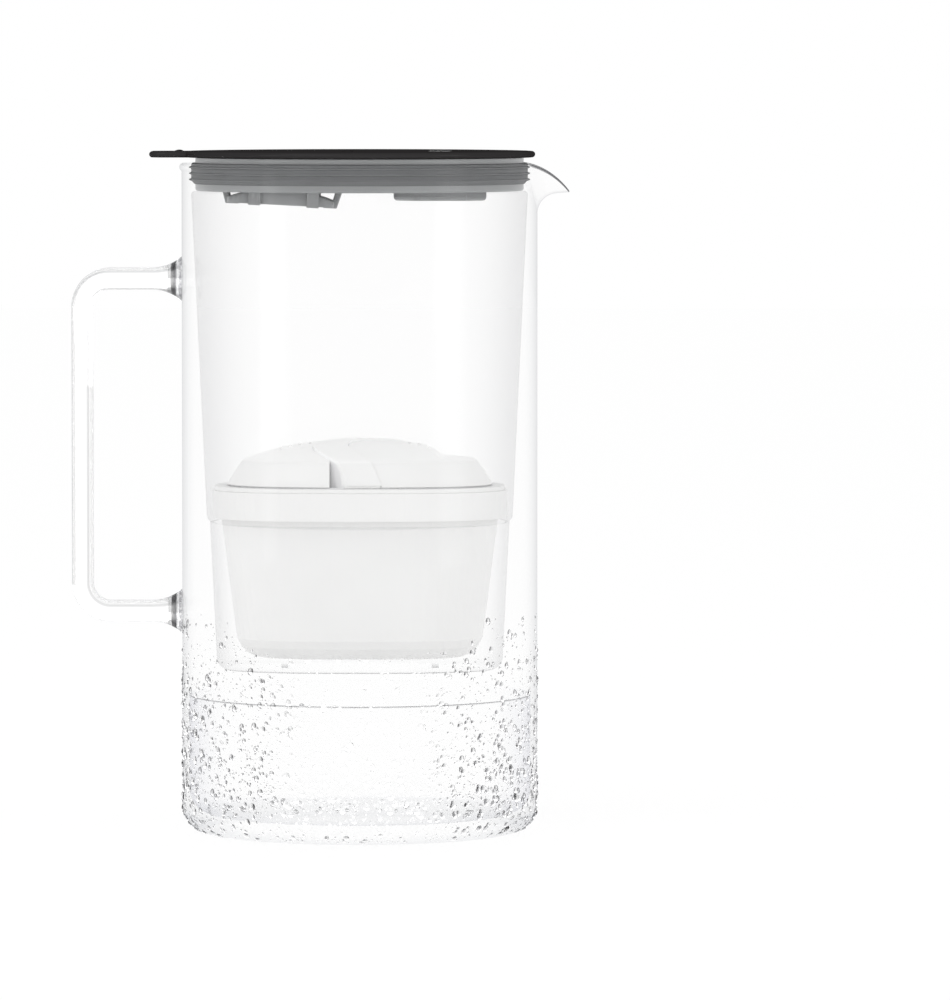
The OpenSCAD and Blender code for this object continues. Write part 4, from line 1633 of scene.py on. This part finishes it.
    def build(self, dresser: Dresser) -> None:
        """Builds and dresses the cap.

        Args:
            dresser: gives the cap its finish.
        """
        cap = self.dome(0.0)
        ledge = [(x * MM, z * MM) for x, z in self.ledge]
        Bench.work(cap, Bench.prism("ledge", ledge, -60 * MM, 60 * MM, Along.Y), Join.CUT)
        for turn in (0.0, math.pi):
            Bench.work(cap, self.notch(turn), Join.CUT)
        Bench.soften(cap, 0.25 * MM, 2, 40)
        grip = self.dome(self.grip_rise)
        half = self.grip_width / 2
        near, far = half - 0.1 * MM, half + self.groove
        for left, right in ((near, far), (-far, -near)):
            Bench.work(cap, self.channel(left, right), Join.CUT)
        Bench.work(grip, self.band(-half, half, self.plate_top - 20 * MM), Join.COMMON)
        Bench.soften(grip, 0.45 * MM, 2, 40)
        Bench.work(cap, grip, Join.WELD)
        for side in (-1, 1):
            for share in self.slot_places:
                middle = side * share * self.half_x
                top = self.plate_top + self.height(share)
                low = Vector((middle - self.slot_half[0], -self.slot_half[1], top - self.slot_depth))
                high = Vector((middle + self.slot_half[0], self.slot_half[1], top + 9 * MM))
                Bench.work(cap, Bench.block("inlet_slot", low, high), Join.CUT)
        inset = 0.2 * MM
        levels = [
            (inset, self.plate_low),
            (0.0, self.plate_low + inset),
            (0.0, self.plate_top - inset),
            (inset, self.plate_top),
        ]
        rings = [oval(self.plate_x - d, self.plate_y - d, z, self.sides) for d, z in levels]
        Bench.work(cap, Bench.from_rings("plate", rings), Join.WELD)
        cap.name = cap.data.name = "filter_cap"
        self.mark_recess_shade(cap)
        Bench.smooth(cap, 30)
        dresser.dress(cap, Body.CARTRIDGE, Slot.CARTRIDGE, ["cartridge_cap"], CAP)


# ---------------------------------------------------------------------------------------------
# splash guard
# ---------------------------------------------------------------------------------------------


@dataclass
class SplashGuard:
    """The domed plate under the filling hatch, and the cradle of arms and straps that holds it."""

    x: float = -27.5 * MM
    z: float = 220.8 * MM
    slope: float = math.radians(3)
    top: float = 235.68 * MM
    length: float = 37.4 * MM
    width: float = 34 * MM
    rise: float = 5.2 * MM
    edge: float = 1.9 * MM
    skin: float = 1.2 * MM
    corner: float = 5 * MM
    arm_half: float = 6 * MM
    arm_thick: float = 2.3 * MM
    arm_foot: float = 19.5 * MM
    arm_top: float = 21.2 * MM
    arm_knee: float = 5.4 * MM
    foot_length: float = 2.4 * MM
    foot_thick: float = 0.45 * MM
    strap_width: float = 4.2 * MM
    strap_places: Pair = (-9.1 * MM, 11.3 * MM)
    strap_thick: float = 1.2 * MM

    def hang(self, piece: Piece) -> None:
        """Moves a piece from the guard's own frame to its place under the lid."""
        place = Matrix.Translation(Vector((self.x, 0, self.z))) @ Matrix.Rotation(self.slope, 4, "Y")
        piece.data.transform(place)

    def shell(self, inward: float, low: float) -> Piece:
        """Arched block with rounded corners.

        Args:
            inward: how far its top and sides lie inside the plate's own.
            low: the height of its flat underside.

        Returns:
            The block.
        """
        half = self.length / 2
        arch = self.rise - self.edge
        radius = (half**2 + arch**2) / (2 * arch)
        spread = math.degrees(math.asin((half - inward) / (radius - inward)))
        outline = arc((0.0, self.rise - radius), radius - inward, 90 + spread, 90 - spread, 40)
        outline += [(half - inward, low), (inward - half, low)]
        block = Bench.prism("shell", outline, inward - self.width / 2, self.width / 2 - inward, Along.Y)
        corners = []
        radius = self.corner - inward
        for index, (sx, sy) in enumerate(((1, 1), (-1, 1), (-1, -1), (1, -1))):
            centre_x, centre_y = sx * (half - self.corner), sy * (self.width / 2 - self.corner)
            corners += arc((centre_x, centre_y), radius, 90 * index, 90 * index + 90, 8)
        outline = Bench.prism("corners", corners, -5 * MM, 10 * MM, Along.Z)
        Bench.work(block, outline, Join.COMMON)
        return block

    def plate(self) -> Piece:
        """The domed plate, open underneath.

        Returns:
            The piece.
        """
        piece = self.shell(0.0, 0.0)
        Bench.work(piece, self.shell(self.skin, -2 * MM), Join.CUT)
        Bench.soften(piece, 0.3 * MM, 2, 35)
        piece.name = piece.data.name = "guard_plate"
        self.hang(piece)
        Bench.smooth(piece, 40)
        return piece

    def cradle(self) -> Piece:
        """The arms at the plate's ends and the straps round its long sides.

        Returns:
            The piece.
        """
        high = self.top - self.z + 3 * MM
        parts = []
        for side in (-1, 1):
            inner_foot = self.arm_foot - self.arm_thick
            outline = [
                (self.arm_foot, -self.foot_thick),
                (self.arm_top, self.arm_knee),
                (self.arm_top, high),
                (self.arm_top - self.arm_thick, high),
                (self.arm_top - self.arm_thick, self.arm_knee + 0.4 * MM),
                (inner_foot + 0.3 * MM, -0.03 * MM),
                (inner_foot - self.foot_length, -0.03 * MM),
                (inner_foot - self.foot_length, -self.foot_thick),
            ]
            outline = [(side * x, z) for x, z in outline]
            parts.append(Bench.prism("arm", outline, -self.arm_half, self.arm_half, Along.Y))
            edge = self.width / 2 + 0.3 * MM
            for place in self.strap_places:
                outline = [
                    (side * (edge + self.strap_thick), high),
                    (side * edge, high),
                    (side * edge, -0.05 * MM),
                    (side * (edge - 9 * MM), -0.05 * MM),
                    (side * (edge - 9 * MM), -self.foot_thick),
                    (side * (edge + self.strap_thick), -self.foot_thick),
                ]
                half = self.strap_width / 2
                strap = Bench.prism("strap", outline, -half, half, Along.Y)
                across = Matrix.Rotation(math.pi / 2, 4, "Z")
                strap.data.transform(Matrix.Translation((place, 0, 0)) @ across)
                parts.append(strap)
        for part in parts:
            Bench.soften(part, 0.22 * MM, 2, 30)
        piece = Bench.join(parts)
        piece.name = piece.data.name = "guard_cradle"
        self.hang(piece)
        above = Bench.block("above", Vector((-0.1, -0.1, self.top)), Vector((0.1, 0.1, self.top + 0.05)))
        Bench.work(piece, above, Join.CUT)
        Bench.smooth(piece, 40)
        return piece

    def build(self, dresser: Dresser) -> None:
        """Builds and dresses the guard."""
        dresser.dress(self.plate(), Body.LID, Slot.GREY, ["splash_plate"], GUARD_PAINTED_LIGHT)
        dresser.dress(self.cradle(), Body.LID, Slot.GREY, ["splash_cradle"], GUARD_PAINTED_LIGHT)


# ---------------------------------------------------------------------------------------------
# water
# ---------------------------------------------------------------------------------------------


@dataclass
class Wetness:
    """The filtered water in the jug, and the drops that condense on the glass outside it.

    A drop's painted shade is strongest near the jug's flanks and under its corner, over the ranges given
    below.
    """

    level: float = 47.3 * MM
    gap: float = 0.04 * MM
    meniscus: float = 1.2 * MM
    meniscus_reach: float = 2.2 * MM
    seed: int = 11
    drops: int = 4000
    high: float = 67 * MM
    middle_high: float = 56 * MM
    line: float = 0.6 * MM
    least: float = 0.3 * MM
    most: float = 1.45 * MM
    fading: float = 1.6
    lowest: float = math.radians(62)
    cut: float = 0.25
    sink: float = 0.06
    flatness: float = 0.7
    drop_sides: int = 8
    drop_rings: int = 6
    shade_flank: Pair = (0.28, 0.6)
    shade_lean: Pair = (0.3, 0.8)
    shade_side: Pair = (0.25, 0.8)

    def water(self, jug: GlassJug) -> Piece:
        """The filtered water, with a film of air between it and the glass.

        Args:
            jug: the glass that holds it.

        Returns:
            The piece.
        """
        side = jug.radius - jug.wall - self.gap
        floor = jug.base + self.gap
        corner = jug.fillet - self.gap
        top = self.level + self.meniscus
        section = [
            (jug.centre, floor),
            *climb((jug.centre, floor), (side - corner, floor), 6),
            *arc((side - corner, floor + corner), corner, -90, 0, 12),
            *climb((side, floor + corner), (side, top - self.line), 6),
            (side, top - self.line),
            (side, top),
            (side - self.gap, top),
        ]
        for share in (0.12, 0.22, 0.36, 0.55, 0.8, 1.0):
            height = self.level + self.meniscus * (1 - share) ** 2.6
            section.append((side - self.meniscus_reach * share, height))
        section += climb((side - self.meniscus_reach, self.level), (jug.centre, self.level), 5)
        section.append((jug.centre, self.level))
        piece = Bench.from_rings("filtered_water", [circle(r, z, jug.sides) for r, z in section])
        Bench.mark_outer(piece)
        # notes the painted shade line at the water's rim
        rim, skin = top - 0.1 * self.line, side - 0.4 * self.gap
        line = [float(v.co.z > rim and v.co.xy.length > skin) for v in piece.data.vertices]
        Bench.mark(piece, "line", line)
        Bench.smooth(piece, 50)
        return piece

    def drop(self) -> Piece:
        """One drop of unit radius on a level face, with its axis upwards.

        Returns:
            The drop.
        """
        Bench.clear()
        bpy.ops.mesh.primitive_uv_sphere_add(
            segments=self.drop_sides, ring_count=self.drop_rings, radius=1, location=(0, 0, 0)
        )
        piece = bpy.context.object
        bpy.ops.object.mode_set(mode="EDIT")
        bpy.ops.mesh.select_all(action="SELECT")
        bpy.ops.mesh.bisect(
            plane_co=(0, 0, self.cut), plane_no=(0, 0, 1), use_fill=True, clear_inner=True
        )
        bpy.ops.object.mode_set(mode="OBJECT")
        for vertex in piece.data.vertices:
            vertex.co.z = (vertex.co.z - self.cut) * self.flatness - self.sink
        Bench.mark(piece, "dark", [0.0] * len(piece.data.vertices))
        Bench.smooth(piece, 50)
        return piece

    def shading(self, turn: float, lean: float, drop: Piece, pose: Matrix) -> list[float]:
        """How much painted shade each vertex of a drop has, on the drop's side towards the YZ plane.

        Args:
            turn: the drop's angle round the jug's axis.
            lean: how far its face looks down.
            drop: the drop's mesh, of unit radius.
            pose: how it is turned.

        Returns:
            The darkness of each vertex, from 0 to 1.
        """
        flank = abs(math.cos(turn))
        round_jug = Vector((-math.sin(turn), math.cos(turn), 0.0))
        inward = -round_jug if math.sin(turn) * math.cos(turn) < 0 else round_jug
        up = (pose @ Vector((0.0, 0.0, 1.0))).cross(round_jug)
        towards = (inward * flank + up * (0.1 + 1.3 * math.sin(lean))).normalized()
        towards = pose.transposed() @ towards
        strength = max(ease(flank, *self.shade_flank), 0.8 * ease(lean, *self.shade_lean), 0.04)
        return [strength * ease(towards.dot(v.co), *self.shade_side) for v in drop.data.vertices]

    def condensation(self, jug: GlassJug) -> Piece:
        """The drops outside, denser and larger towards the base.

        Args:
            jug: the glass that they sit on.

        Returns:
            The piece.
        """
        chance = random.Random(self.seed)
        drop = self.drop()
        copies = []
        corner_length = jug.corner * math.pi / 2
        length = self.high + corner_length
        while len(copies) < self.drops:
            along = chance.random() * length
            if chance.random() > 1.05 - (along / length) ** self.fading:
                continue
            turn = chance.uniform(0, FULL_TURN)
            highest = self.middle_high + (self.high - self.middle_high) * math.cos(turn) ** 2
            if along > highest + corner_length:
                continue
            size = self.least + (self.most - self.least) * chance.random() ** 5
            if along < corner_length:
                lean = math.pi / 2 * (1 - along / corner_length)
                if lean > self.lowest:
                    continue
                centre = jug.radius - jug.corner
                radius = centre + jug.corner * math.cos(lean)
                height = jug.corner * (1 - math.sin(lean))
            else:
                lean, radius, height = 0.0, jug.radius, jug.corner + along - corner_length
            level = math.cos(lean)
            normal = Vector((math.cos(turn) * level, math.sin(turn) * level, -math.sin(lean)))
            copy = drop.copy()
            copy.data = drop.data.copy()
            copy.location = (radius * math.cos(turn), radius * math.sin(turn), height)
            copy.rotation_euler = normal.to_track_quat("Z", "Y").to_euler()
            copy.scale = (size * chance.uniform(0.85, 1.0), size * chance.uniform(1.0, 1.2), size)
            # painted shade on each drop, by its place on the jug
            dark = self.shading(turn, lean, drop, copy.rotation_euler.to_matrix())
            copy.data.attributes["dark"].data.foreach_set("value", dark)
            bpy.context.collection.objects.link(copy)
            copies.append(copy)
        bpy.data.objects.remove(drop)
        piece = copies[0]
        spent = [copy.data for copy in copies[1:]]
        Bench.join(copies)
        for mesh in spent:
            bpy.data.meshes.remove(mesh)
        bpy.ops.object.transform_apply(location=True, rotation=True, scale=True)
        piece.name = piece.data.name = "condensation"
        return piece

    def build(self, jug: GlassJug, dresser: Dresser) -> None:
        """Builds and dresses the water and the drops."""
        dresser.dress(self.water(jug), Body.JUG, Slot.JUG_GLASS, finish=WATER)
        dresser.dress(self.condensation(jug), Body.JUG, Slot.JUG_GLASS, finish=DEW)


# ---------------------------------------------------------------------------------------------
# the rest of the frame's nodes
# ---------------------------------------------------------------------------------------------


def dress_plain_nodes(dresser: Dresser) -> None:
    """Gives the nodes that keep their own meshes their finish.

    Args:
        dresser: gives the nodes their finish.
    """
    dresser.dress_nodes(Slot.CARTRIDGE, "cartridge_cup")
    dresser.dress_nodes(Slot.WHITE_RUBBER, "cartridge_seal")
    dresser.dress_nodes(Slot.MESH, "inlet_screen", "outlet_screen")
    dresser.dress_nodes(Slot.GRANULES, "filter_media")
    dresser.dress_nodes(Slot.BLACK, "lid_plate", "flip_hatch")
    dresser.dress_nodes(Slot.GREY, "lid_frame", "timer_housing", "battery_cover")
    dresser.dress_nodes(Slot.BOARD, "timer_board")
    dresser.dress_nodes(Slot.CONTACT, "contact_clips")
    dresser.dress_nodes(Slot.STEEL, "coin_cell", "hinge_pin")
    dresser.dress_nodes(Slot.BLACK_RUBBER, "battery_seal")
    dresser.dress_nodes(Slot.WINDOW, "timer_window")
    dresser.dress_nodes(Slot.BUTTON, "reset_button")


# ---------------------------------------------------------------------------------------------
# studio
# ---------------------------------------------------------------------------------------------


@dataclass
class Studio:
    """The camera, the pale floor and the plain soft light."""

    lens: float = 292.0
    sensor: float = 36.0
    distance: float = 2.8511
    eye_height: float = 0.2721
    eye_x: float = 0.04055
    pitch: float = math.radians(3.1191)
    floor_half: float = 6.0
    floor_drop: float = 0.4 * MM
    floor_white: float = 0.8
    ambient: float = 0.9
    mirror_level: float = 0.95
    ceiling_shade: float = 0.5
    bounces: int = 24

    def camera(self) -> None:
        """Stands the camera where the photograph was taken from."""
        Bench.clear()
        bpy.ops.object.camera_add(
            location=(self.eye_x, -self.distance, self.eye_height),
            rotation=(math.pi / 2 - self.pitch, 0, 0),
        )
        camera = bpy.context.object
        camera.name = "camera"
        camera.data.lens = self.lens
        camera.data.sensor_fit = "AUTO"
        camera.data.sensor_width = self.sensor
        camera.data.clip_start = 0.05
        camera.data.clip_end = 60.0
        bpy.context.scene.camera = camera

    def floor(self) -> None:
        """Lays the pale floor."""
        Bench.clear()
        bpy.ops.mesh.primitive_plane_add(size=2 * self.floor_half, location=(0, 0, -self.floor_drop))
        floor = bpy.context.object
        floor.name = "floor"
        material, recipe = new_recipe("pale_floor")
        plain = recipe.node("BsdfDiffuse", {}, {"Color": (0.86, 0.86, 0.86, 1.0)})
        glow = {"Color": (1.0, 1.0, 1.0, 1.0), "Strength": 1.05}
        white = recipe.node("Emission", {}, glow)
        path = recipe.node("LightPath", {}, {}, "Is Camera Ray")
        others = path.beside("Is Transmission Ray").larger(path.beside("Is Glossy Ray"))
        share = path * self.floor_white + (1 - path) * others
        recipe.end(recipe.between(share, plain, white))
        floor.data.materials.append(material)

    def world(self) -> None:
        """Lights the room evenly, with a white backdrop."""
        world = bpy.data.worlds.new("studio")
        bpy.context.scene.world = world
        world.use_nodes = True
        recipe = Recipe(world.node_tree)
        path = recipe.node("LightPath", {}, {}, "Is Camera Ray")
        through, mirrored = path.beside("Is Transmission Ray"), path.beside("Is Glossy Ray")
        direction = recipe.node("TexCoord", {}, {}, "Generated")
        axes = recipe.node("SeparateXYZ", {}, {0: direction}, "Z")
        ceiling = axes.ramp(0.45, 0.8)
        seen_through = 1 - ceiling * self.ceiling_shade
        others = (1 - through) * (1 - mirrored) * self.ambient
        level = path + (1 - path) * (through * seen_through + mirrored * self.mirror_level + others)
        values = {"Color": (1.0, 1.0, 1.0, 1.0), "Strength": level}
        recipe.end(recipe.node("Background", {}, values), "OutputWorld")

    def lamp(self, name: str, place: Vector, size: Pair, power: float) -> None:
        """Hangs one soft rectangular lamp that looks at the pitcher.

        Args:
            name: its name.
            place: where it hangs.
            size: its width and height.
            power: its power in watts.
        """
        Bench.clear()
        aim = (Vector((0, 0, 0.13)) - place).to_track_quat("-Z", "Y").to_euler()
        bpy.ops.object.light_add(type="AREA", location=place, rotation=aim)
        lamp = bpy.context.object
        lamp.name = name
        lamp.data.shape = "RECTANGLE"
        lamp.data.size, lamp.data.size_y = size
        lamp.data.energy = power

    def build(self) -> None:
        """Sets up the whole studio."""
        self.camera()
        self.floor()
        self.world()
        self.lamp("key_lamp", Vector((-0.9, -1.2, 1.5)), (1.2, 1.2), 4.0)
        self.lamp("right_lamp", Vector((1.3, -0.65, 0.5)), (0.5, 1.2), 2.0)
        self.lamp("left_lamp", Vector((-1.3, -0.75, 0.5)), (0.3, 1.2), 1.2)
        bpy.context.scene.view_settings.view_transform = "Standard"
        cycles = bpy.context.scene.cycles
        cycles.max_bounces = cycles.transmission_bounces = self.bounces
        cycles.transparent_max_bounces = 2 * self.bounces


def main() -> None:
    """Builds the pitcher round its frame, sub-assembly by sub-assembly."""
    logging.basicConfig(level=logging.INFO, format="%(message)s")
    Studio().build()
    dresser = Dresser()
    jug = GlassJug()
    jug.build(dresser)
    Wetness().build(jug, dresser)
    Hopper().build(dresser)
    CartridgeCap().build(dresser)
    SplashGuard().build(dresser)
    dress_plain_nodes(dresser)


if __name__ == "__main__":
    main()
